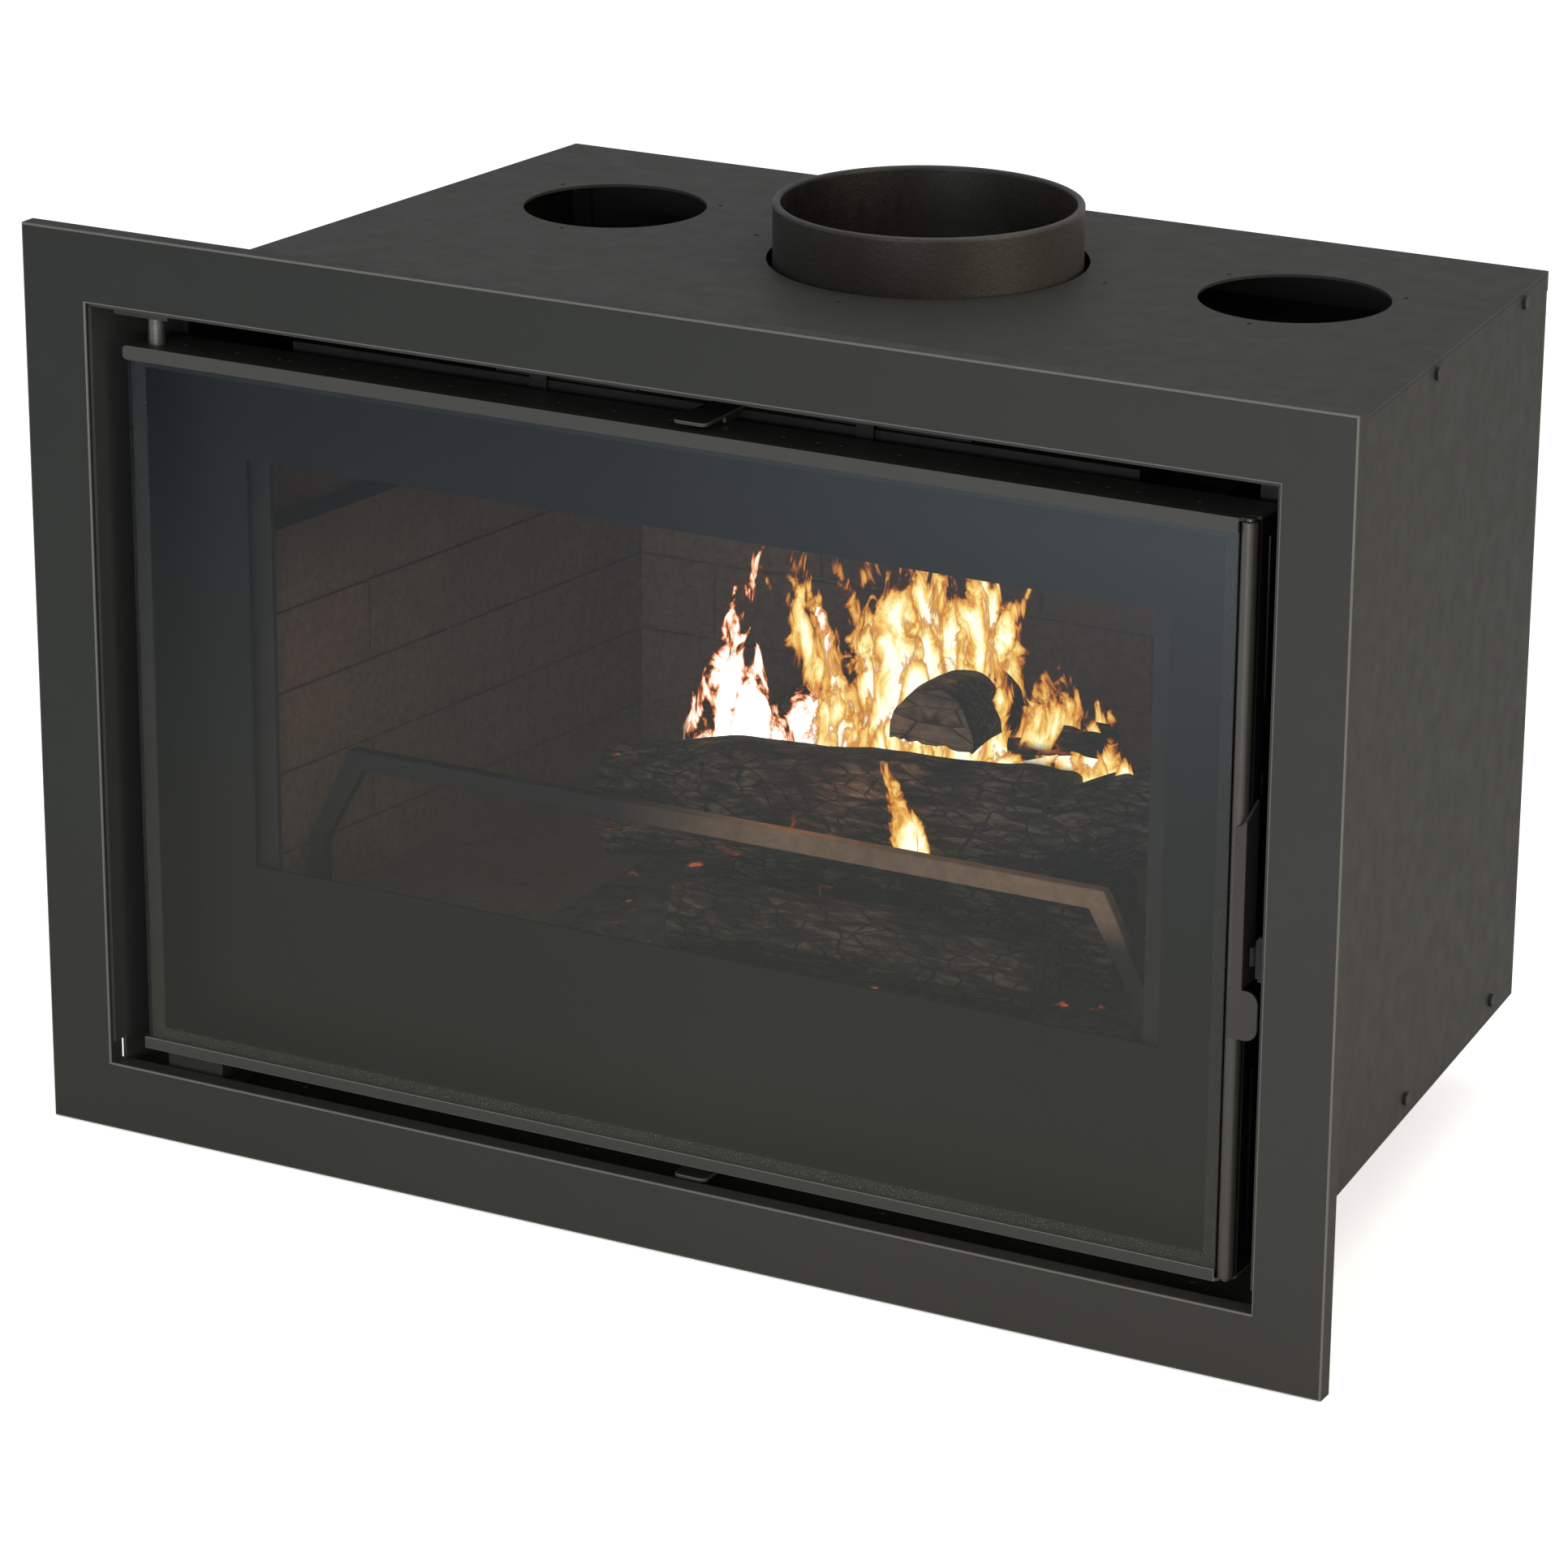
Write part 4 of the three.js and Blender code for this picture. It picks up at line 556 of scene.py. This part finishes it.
def close_mitres(bm):
    """Moves a rail's mitred ends towards its neighbours, so only a hairline joint is left."""
    for vert in bm.verts:
        side = mitre_side(vert.co)
        if abs(side) < MITRE_SLACK:
            sign = -1.0 if side > 0 else 1.0
            vert.co.x -= math.copysign(1.0, vert.co.x) * sign * MITRE_REACH
            vert.co.z += math.copysign(1.0, vert.co.z - FRAME_MID_Z) * sign * MITRE_REACH


EDGE_ANGLE = 35.0
FLAT_ANGLE = 0.4
FOLD_SEGMENTS = 2


def rounded(name, width):
    """Replaces a node by the same shape with its edges rounded to width millimetres."""
    rail = name.startswith("frame_")
    bm = bmesh.new()
    bm.from_mesh(NODES[name].data)
    bmesh.ops.remove_doubles(bm, verts=bm.verts, dist=1e-6)
    bmesh.ops.dissolve_limit(bm, angle_limit=math.radians(FLAT_ANGLE), verts=bm.verts, edges=bm.edges)
    if rail:
        close_mitres(bm)
    mesh = mesh_from(name + ".sheet", bm)
    mesh.materials.clear()
    mesh.materials.append(finish_of(name))
    # On the frame and casing, the bevel faces take the lighter paint, a painted highlight along the folds.
    edge_material = None if name in PLAIN_EDGES else EDGE_OF.get(SLOT_OF[name])
    if edge_material:
        mesh.materials.append(edge_material)
    if name == "door_glass":
        for face in mesh.polygons:
            face.material_index = 0 if abs(face.normal.y) > 0.9 else 1
    shade(mesh, EDGE_ANGLE)
    keep_sharp = on_mitre if rail else on_no_mitre
    made = with_bevel(mesh, name + ".folded", width, FOLD_SEGMENTS, EDGE_ANGLE, keep_sharp)
    add_piece(name + ".folded", made, BODY_OF[name], None, (name,))


def bridge(bm, first, second):
    """Faces between two equal rings of vertices. Returns them."""
    count = len(first)
    faces = []
    for i in range(count):
        j = (i + 1) % count
        faces.append(bm.faces.new((first[i], first[j], second[j], second[i])))
    return faces


def turned(name, profile, centre, around=128):
    """Closed profile of (radius, z) turned about a vertical axis through centre."""
    bm = bmesh.new()
    rings = []
    for i in range(around):
        a = 2 * math.pi * i / around
        spots = [at(centre[0] + r * math.cos(a), centre[1] + r * math.sin(a), z) for r, z in profile]
        rings.append([bm.verts.new(spot) for spot in spots])
    for i, ring in enumerate(rings):
        bridge(bm, ring, rings[(i + 1) % around])
    bmesh.ops.recalc_face_normals(bm, faces=bm.faces)
    return mesh_from(name, bm)


# ------------------------------------------------------------------ carried-over nodes

for name, node in NODES.items():
    node.data.materials.clear()
    node.data.materials.append(finish_of(name))
    shade(node.data, EDGE_ANGLE)

# Width in millimetres of the rounded edges of each node that shows them.
FOLDED = {
    "frame_top_rail": 1.1, "frame_bottom_rail": 1.1, "frame_left_rail": 1.1, "frame_right_rail": 1.1,
    "casing_cover": 0.6, "casing_side_left": 0.7, "casing_side_right": 0.7, "casing_back": 0.5,
    "front_sill": 0.5, "door_top_strip": 0.5, "door_bottom_strip": 0.6, "door_frame": 0.6,
    "door_handle": 0.6, "latch_rod": 0.6, "hinge_bracket_lower": 0.7, "hinge_bracket_upper": 0.6,
    "airwash_slide": 0.5, "primary_air_slide": 0.5, "hot_air_fascia": 0.4, "log_retainer": 1.2,
    "hinge_pin_upper": 0.6, "hinge_pin_lower": 0.5, "door_glass": 0.6, "latch_cam": 0.6,
    "latch_keeper": 0.5, "brick_lining_left": 1.0, "brick_lining_right": 1.0, "brick_lining_back": 1.0,
    "baffle_plate": 2.0, "grate": 1.0,
}
for name, width in FOLDED.items():
    rounded(name, width)

# ------------------------------------------------------------------ flue collar

COLLAR_RIM = COVER_TOP + FLUE_STAND
FLANGE_Z, FLANGE_WIDTH, FLANGE_THICK = 456.3, 18.0, 6.0
RIM_ROUND, RIM_STEPS = 1.5, 6


def collar_profile():
    """Half section of the collar: flange, small root fillet, wall and rounded rim."""
    inner, outer, middle = FLUE_RADIUS - FLUE_WALL, FLUE_RADIUS, FLUE_RADIUS - FLUE_WALL / 2
    flange_top = FLANGE_Z + FLANGE_THICK
    points = [(inner, FLANGE_Z), (outer + FLANGE_WIDTH, FLANGE_Z), (outer + FLANGE_WIDTH, flange_top - 0.8),
              (outer + FLANGE_WIDTH - 1, flange_top), (outer + 4, flange_top),
              (outer + 1.2, flange_top + 1.2), (outer, flange_top + 4)]
    points += [(outer, z) for z in (475, 490, 500, 510, 520, COLLAR_RIM - 2 * RIM_ROUND)]
    for i in range(RIM_STEPS + 1):
        a = math.pi * i / RIM_STEPS
        rise = RIM_ROUND * math.sin(a)
        points.append((middle + FLUE_WALL / 2 * math.cos(a), COLLAR_RIM - RIM_ROUND + rise))
    points += [(inner, z) for z in (COLLAR_RIM - 2 * RIM_ROUND, 520, 505, 490, 475)]
    return points


collar = turned("flue_collar.cast", collar_profile(), (0.0, FLUE_Y))
shade(collar, 40)
add_piece("flue_collar.cast", collar, "casing", MATERIALS["collar_iron"], ("flue_collar",))


# ------------------------------------------------------------------ screws

SCREW_HEAD_RADIUS, SCREW_HEAD_RISE, SCREW_SINK = 4.5, 2.2, 0.4
# Shares of the head's rise: its rim and the recess. Shares of its radius: the recess's arms.
SCREW_RIM, CROSS_DEPTH = 0.35, 0.35
CROSS_HALF_WIDTH, CROSS_REACH = 0.13, 0.55
SCREW_X = 349.9
SCREW_LEVELS = {"lower": 60.0, "middle": 246.85, "upper": 433.7}


def screw_mesh(name, radius, height, around=32, rows=6):
    """Pan-head screw with a cross recess in millimetres, its axis along +Z, its seat at z = 0."""
    profile = []
    for i in range(1, rows + 1):
        a = math.pi / 2 * i / rows
        profile.append((radius * math.sin(a), height * (SCREW_RIM + (1 - SCREW_RIM) * math.cos(a))))
    profile.append((radius, 0.0))
    bm = bmesh.new()
    rings = []
    for r, z in profile:
        turns = [2 * math.pi * k / around for k in range(around)]
        rings.append([bm.verts.new((r * math.cos(a), r * math.sin(a), z)) for a in turns])
    top = bm.verts.new((0, 0, height))
    for k in range(around):
        bm.faces.new((top, rings[0][k], rings[0][(k + 1) % around]))
    for upper, lower in zip(rings, rings[1:]):
        bridge(bm, upper, lower)
    bm.faces.new(list(reversed(rings[-1])))
    for vert in bm.verts:
        x, y, z = vert.co
        in_arm = min(abs(x), abs(y)) < radius * CROSS_HALF_WIDTH
        if z > 0.01 and in_arm and math.hypot(x, y) < radius * CROSS_REACH:
            vert.co.z -= height * CROSS_DEPTH
    bmesh.ops.recalc_face_normals(bm, faces=bm.faces)
    mesh = mesh_from(name, bm)
    shade(mesh, 45)
    return mesh


FACE_BACK = Matrix.Rotation(math.radians(-90), 4, "X") @ Matrix.Scale(1 / MM, 4)
for side_name, side in (("left", -1), ("right", 1)):
    for level, z in SCREW_LEVELS.items():
        name = "back_screw_%s_%s" % (side_name, level)
        screw = screw_mesh(name, SCREW_HEAD_RADIUS, SCREW_HEAD_RISE)
        seat = at(side * SCREW_X, CASING_BACK_Y - SCREW_SINK, z)
        screw.transform(Matrix.Translation(seat) @ FACE_BACK)
        add_piece(name, screw, "casing", SCREW_BLACK)

# ------------------------------------------------------------------ logs

LOG_BARK = bark("charred_bark")
LOG_CUT = cut_wood("sawn_end")


# Shares of a log's radius: its three lobes, long swells and fine skin, and how far a split
# face lies below the middle and how rough it is.
LOG_LOBES, LOG_SWELL, LOG_SKIN = 0.05, 0.11, 0.016
SPLIT_DEPTH, SPLIT_ROUGHNESS = 0.12, 0.06


def log_rings(start, end, radius, seed, half, bend, around, steps):
    """Rings of points in millimetres along a log, and its direction."""
    rng = random.Random(seed)
    start, end = Vector(start), Vector(end)
    line = end - start
    forward = line.normalized()
    side = forward.cross(Vector((0, 0, 1))).normalized()
    up = side.cross(forward).normalized()
    shift = Vector((rng.uniform(0, 50), rng.uniform(0, 50), rng.uniform(0, 50)))
    flat = -SPLIT_DEPTH * radius
    rings = []
    for i in range(steps + 1):
        t = i / steps
        centre = start + line * t + up * (bend * math.sin(math.pi * t))
        ring = []
        for k in range(around):
            a = 2 * math.pi * k / around
            swell = Vector((math.cos(a) * 1.4, math.sin(a) * 1.4, t * line.length / 60.0)) + shift
            skin = Vector((math.cos(a) * 5.0, math.sin(a) * 5.0, t * line.length / 40.0)) + shift
            r = radius * (1 + LOG_LOBES * math.sin(3 * a + seed))
            r += radius * LOG_SWELL * noise.fractal(swell, 1.2, 2.0, 2)
            r += radius * LOG_SKIN * noise.fractal(skin, 1.0, 2.0, 3)
            x, y = r * math.cos(a), r * math.sin(a)
            if half and y < flat:
                y = flat + SPLIT_ROUGHNESS * radius * noise.noise(skin)
            ring.append(centre + side * x + up * y)
        rings.append(ring)
    return rings, forward


def log_end(bm, rim, outwards):
    """Sawn end over the last ring of a log, slightly uneven."""
    middle = sum((v.co for v in rim), Vector()) / len(rim)
    last = rim
    for scale in (0.86, 0.62, 0.36, 0.12):
        inner = []
        for vert in rim:
            spot = middle + (vert.co - middle) * scale
            spot += outwards * 0.0006 * noise.noise(spot * 300)
            inner.append(bm.verts.new(spot))
        for face in bridge(bm, last, inner):
            face.material_index = 1
        last = inner
    bm.faces.new(last).material_index = 1


def log_piece(name, start, end, radius, seed, half=False, bend=4.0):
    """Round or split log between two places, with swells from layered noise and sawn ends."""
    rings, forward = log_rings(start, end, radius, seed, half, bend, around=56, steps=64)
    bm = bmesh.new()
    made = [[bm.verts.new(at(*point)) for point in ring] for ring in rings]
    for first, second in zip(made, made[1:]):
        bridge(bm, first, second)
    log_end(bm, made[0], -forward)
    log_end(bm, made[-1], forward)
    bmesh.ops.recalc_face_normals(bm, faces=bm.faces)
    mesh = mesh_from(name, bm)
    mesh.materials.append(LOG_BARK)
    mesh.materials.append(LOG_CUT)
    shade(mesh, 50)
    add_piece(name, mesh, "casing")


log_piece("log_under_front", (-45, 118, 117), (205, 128, 116), 24, 3)
log_piece("log_under_rear", (-60, 200, 122), (230, 196, 121), 28, 5)
log_piece("log_under_far", (-20, 262, 118), (190, 268, 118), 25, 9)
log_piece("log_main", (-112, 158, 172), (200, 163, 204), 36, 11, bend=6.0)
log_piece("log_right", (172, 148, 184), (264, 172, 224), 30, 13, bend=2.0)
log_piece("log_split_upper", (104, 168, 243), (108, 236, 240), 31, 17, half=True)
log_piece("log_back_left", (-70, 246, 168), (40, 236, 262), 22, 21)
log_piece("log_back_right", (140, 212, 231), (206, 216, 243), 11, 26)


EMBER_LEFT, EMBER_RIGHT, EMBER_FRONT, EMBER_REAR = -150.0, 265.0, 98.0, 330.0
EMBER_LOW, EMBER_LUMP, EMBER_GAP = 5.0, 8.0, 0.2


def ember_mound(columns=70, rows=40):
    """Low uneven heap of embers on the hearth under the logs."""
    bm = bmesh.new()
    grid = []
    for j in range(rows + 1):
        row = []
        for i in range(columns + 1):
            u, v = i / columns, j / rows
            x = EMBER_LEFT + (EMBER_RIGHT - EMBER_LEFT) * u
            y = EMBER_FRONT + (EMBER_REAR - EMBER_FRONT) * v
            slope = min(1.0, max(0.0, min(u, 1 - u, v, 1 - v) * 5.0))
            lump = abs(noise.fractal(Vector((x / 22, y / 22, 3.1)), 1.0, 2.0, 4))
            height = slope * (EMBER_LOW + EMBER_LUMP * lump)
            row.append(bm.verts.new(at(x, y, HEARTH_TOP + EMBER_GAP + height)))
        grid.append(row)
    for j in range(rows):
        for i in range(columns):
            bm.faces.new((grid[j][i], grid[j][i + 1], grid[j + 1][i + 1], grid[j + 1][i]))
    right_edge = [row[-1] for row in grid[1:-1]]
    left_edge = [row[0] for row in reversed(grid[1:-1])]
    outline = grid[0] + right_edge + list(reversed(grid[-1])) + left_edge
    bm.faces.new(list(reversed(outline)))
    bmesh.ops.recalc_face_normals(bm, faces=bm.faces)
    mesh = mesh_from("ember_mound", bm)
    shade(mesh, 60)
    return mesh


add_piece("ember_mound", ember_mound(), "casing", ember_bed("ember_bed"))

# ------------------------------------------------------------------ flames

FLAME = flame_gas("flame_gas")
FLAME_PALE = flame_gas("flame_gas_pale", 1.0)


# How much a tongue narrows and sways towards its tip, how far it twists and how deep it curls.
TONGUE_TAPER, TONGUE_SWAY, TONGUE_TWIST, TONGUE_CURL = 0.45, 0.05, 0.4, 0.16


def tongue_rows(tongue, phase, across, along):
    """Rows of (point, UV) over one curved sheet that sways and tapers as it rises."""
    x, y, z, height, width, lean, twist = tongue
    rows = []
    for j in range(along + 1):
        t = j / along
        belly = 0.72 + 0.42 * math.sin(math.pi * min(1.0, t * 1.1 + 0.1))
        w = width * belly * (1 - TONGUE_TAPER * t)
        sway = TONGUE_SWAY * height * t
        cx = x + lean * t + sway * math.sin(phase + 4.6 * t)
        cy = y + sway * math.cos(phase + 3.9 * t)
        turn = twist + TONGUE_TWIST * math.sin(phase + 2.5 * t) * t
        row = []
        for i in range(across + 1):
            a = (i / across - 0.5) * 2.0
            px, py = a * w * 0.5, w * TONGUE_CURL * (1 - a * a)
            dx = px * math.cos(turn) - py * math.sin(turn)
            dy = px * math.sin(turn) + py * math.cos(turn)
            row.append((at(cx + dx, cy + dy, z + height * t), (i / across, t)))
        rows.append(row)
    return rows


def flame_sheets(name, tongues, seed, gas, across=10, along=28):
    """One piece of several tongues. A tongue is base x, y, z, height, width, lean, twist."""
    rng = random.Random(seed)
    bm = bmesh.new()
    uv = bm.loops.layers.uv.new("UVMap")
    for tongue in tongues:
        rows = tongue_rows(tongue, rng.uniform(0, 6.28), across, along)
        grid = [[(bm.verts.new(point), spot) for point, spot in row] for row in rows]
        for lower, upper in zip(grid, grid[1:]):
            for i in range(across):
                quad = (lower[i], lower[i + 1], upper[i + 1], upper[i])
                face = bm.faces.new([vert for vert, _ in quad])
                for loop, (_, spot) in zip(face.loops, quad):
                    loop[uv].uv = spot
    mesh = mesh_from(name, bm)
    mesh.shade_smooth()
    add_piece(name, mesh, "casing", gas)


flame_sheets("flames_middle", [
    (28, 200, 186, 190, 54, -38, 0.1), (46, 214, 188, 205, 60, -14, -0.2), (64, 196, 190, 200, 60, 2, 0.2),
    (84, 220, 192, 195, 62, 16, 0.1), (98, 204, 198, 178, 54, 28, -0.1), (58, 238, 186, 215, 92, 0, 0.1),
    (36, 190, 184, 118, 46, -20, 0.3), (76, 184, 196, 120, 46, 6, -0.1), (108, 228, 205, 150, 48, 18, 0.2),
    (20, 224, 182, 150, 60, -26, -0.1), (88, 246, 190, 205, 90, 10, 0.1), (54, 180, 186, 84, 40, 4, 0.1),
    (96, 212, 246, 104, 30, 66, 0.1), (24, 208, 236, 92, 28, -62, 0.1), (70, 206, 230, 130, 34, 30, 0.0),
    (48, 206, 230, 130, 32, -36, 0.1),
], 4, FLAME)
flame_sheets("flames_left", [
    (-52, 186, 168, 176, 70, 24, 0.1), (-22, 208, 174, 122, 70, 22, -0.1), (-82, 214, 166, 74, 52, 8, 0.2),
    (2, 198, 176, 130, 42, 6, 0.1), (-34, 200, 170, 84, 84, 8, 0.0),
], 8, FLAME_PALE)
flame_sheets("flames_right", [
    (136, 198, 210, 88, 40, 10, -0.1), (152, 202, 222, 84, 44, 18, 0.2), (172, 204, 226, 74, 40, 10, 0.1),
    (196, 206, 214, 62, 34, -4, 0.1), (214, 196, 212, 66, 28, 2, -0.1), (184, 222, 214, 84, 60, -6, 0.1),
    (150, 186, 206, 40, 50, -6, 0.1), (204, 186, 214, 40, 40, 4, 0.2), (160, 196, 236, 78, 30, 22, 0.1),
], 15, FLAME)
flame_sheets("flames_low", [
    (118, 116, 178, 66, 30, -16, 0.1), (112, 121, 182, 50, 22, -10, -0.2), (-108, 140, 162, 52, 30, 4, 0.1),
    (250, 150, 196, 34, 18, 4, 0.1), (242, 158, 226, 40, 18, -4, 0.1),
], 23, FLAME)

# ------------------------------------------------------------------ studio

FLOOR_WHITE, FLOOR_GLOW, ROOM_LEVEL = 0.9, 0.6, 0.5
FLOOR_HALF = 9.0
FLOOR_DROP = 0.0006
FLOOR_Z = FRAME_BOTTOM / MM - FLOOR_DROP


def studio_floor():
    """White floor under the frame. It glows for the camera only, and keeps the shadow."""
    mesh = bpy.data.meshes.new("studio_floor")
    corners = [(x * FLOOR_HALF, y * FLOOR_HALF, FLOOR_Z) for x, y in ((-1, -1), (1, -1), (1, 1), (-1, 1))]
    mesh.from_pydata(corners, [], [(0, 1, 2, 3)])
    floor = bpy.data.objects.new("studio_floor", mesh)
    bpy.context.scene.collection.objects.link(floor)
    s = Shader("studio_floor")
    s.set(Base_Color=(FLOOR_WHITE, FLOOR_WHITE, FLOOR_WHITE), Roughness=0.9, Specular_IOR_Level=0.0)
    glow = s.make("ShaderNodeEmission", {"Color": (1, 1, 1, 1), "Strength": FLOOR_GLOW})
    bright = s.make("ShaderNodeAddShader", {0: s.surface.outputs[0], 1: glow.outputs[0]})
    paths = s.make("ShaderNodeLightPath")
    mix = s.make("ShaderNodeMixShader", {
        0: paths.outputs["Is Camera Ray"], 1: s.surface.outputs[0], 2: bright.outputs[0]})
    s.link(mix.outputs[0], s.nodes["Material Output"].inputs["Surface"])
    mesh.materials.append(s.material)


def studio_room():
    """White for the camera, also through the glass, and a soft grey room for everything else."""
    world = bpy.data.worlds.new("studio")
    bpy.context.scene.world = world
    world.use_nodes = True
    nodes, links = world.node_tree.nodes, world.node_tree.links
    paths = nodes.new("ShaderNodeLightPath")
    seen = nodes.new("ShaderNodeMath")
    seen.operation = "MAXIMUM"
    links.new(paths.outputs["Is Camera Ray"], seen.inputs[0])
    links.new(paths.outputs["Is Transmission Ray"], seen.inputs[1])
    room = nodes.new("ShaderNodeBackground")
    room.inputs["Color"].default_value = (0.93, 0.98, 1.0, 1.0)
    room.inputs["Strength"].default_value = ROOM_LEVEL
    white = nodes["Background"]
    white.inputs["Color"].default_value = (1, 1, 1, 1)
    white.inputs["Strength"].default_value = 1.0
    mix = nodes.new("ShaderNodeMixShader")
    links.new(seen.outputs[0], mix.inputs[0])
    links.new(room.outputs[0], mix.inputs[1])
    links.new(white.outputs[0], mix.inputs[2])
    links.new(mix.outputs[0], nodes["World Output"].inputs["Surface"])


def soft_lamp(name, spot, target, size, watts, colour):
    """Rectangular lamp at spot that faces target, both in metres."""
    data = bpy.data.lights.new(name, "AREA")
    data.shape = "RECTANGLE"
    data.size, data.size_y = size
    data.energy = watts
    data.color = colour
    lamp = bpy.data.objects.new(name, data)
    bpy.context.scene.collection.objects.link(lamp)
    lamp.location = spot
    lamp.rotation_euler = (Vector(target) - Vector(spot)).to_track_quat("-Z", "Y").to_euler()


studio_floor()
studio_room()
soft_lamp("key_right", (3.4, -0.6, 1.4), (0.2, 0, 0.2), (2.0, 2.0), 43, (1.0, 0.82, 0.56))
soft_lamp("top_soft", (0.2, 0.3, 3.4), (0, 0, 0.3), (2.6, 2.6), 31, (1.0, 0.96, 0.84))
soft_lamp("front_soft", (0.4, -3.3, 0.45), (0, -0.3, 0.2), (2.0, 1.4), 54, (0.97, 0.99, 1.0))
soft_lamp("strip_left", (-1.9, -1.5, 0.5), (-0.2, -0.3, 0.25), (0.35, 1.1), 5, (1.0, 0.98, 0.95))


FIRE_COLOUR = (1.0, 0.50, 0.24)
FIRE_SOFTNESS = 0.05


def fire_glow():
    """Warm light of the fire on the bricks, the bar and the logs, from lamps that don't show."""
    for name, spot, watts in (("fire_middle", (60, 200, 300), 0.6), ("fire_low", (60, 110, 225), 0.16)):
        data = bpy.data.lights.new(name, "POINT")
        data.energy = watts
        data.color = FIRE_COLOUR
        data.shadow_soft_size = FIRE_SOFTNESS
        lamp = bpy.data.objects.new(name, data)
        bpy.context.scene.collection.objects.link(lamp)
        lamp.location = at(*spot)
        lamp.visible_camera = lamp.visible_glossy = lamp.visible_transmission = False


fire_glow()


# ------------------------------------------------------------------ camera

# The camera's place in millimetres and its turns in radians, fitted to the photo's edges.
CAMERA_SPOT = (1642.1, -2894.2, 1418.2)
CAMERA_YAW, CAMERA_PITCH, CAMERA_ROLL = 0.4921, 0.3383, 0.0062
SENSOR = 36.0
FOCAL_PIXELS, PHOTO_PIXELS = 7200.0, 1932.0


def photo_camera():
    data = bpy.data.cameras.new("photo_camera")
    data.sensor_width = SENSOR
    data.lens = SENSOR * FOCAL_PIXELS / PHOTO_PIXELS
    data.clip_start, data.clip_end = 0.05, 60.0
    camera = bpy.data.objects.new("photo_camera", data)
    bpy.context.scene.collection.objects.link(camera)
    turn = (Matrix.Rotation(CAMERA_YAW, 4, "Z") @ Matrix.Rotation(math.pi / 2 - CAMERA_PITCH, 4, "X")
            @ Matrix.Rotation(CAMERA_ROLL, 4, "Z"))
    camera.matrix_world = Matrix.Translation(at(*CAMERA_SPOT)) @ turn
    bpy.context.scene.camera = camera


photo_camera()
bpy.context.scene.view_settings.view_transform = "Standard"
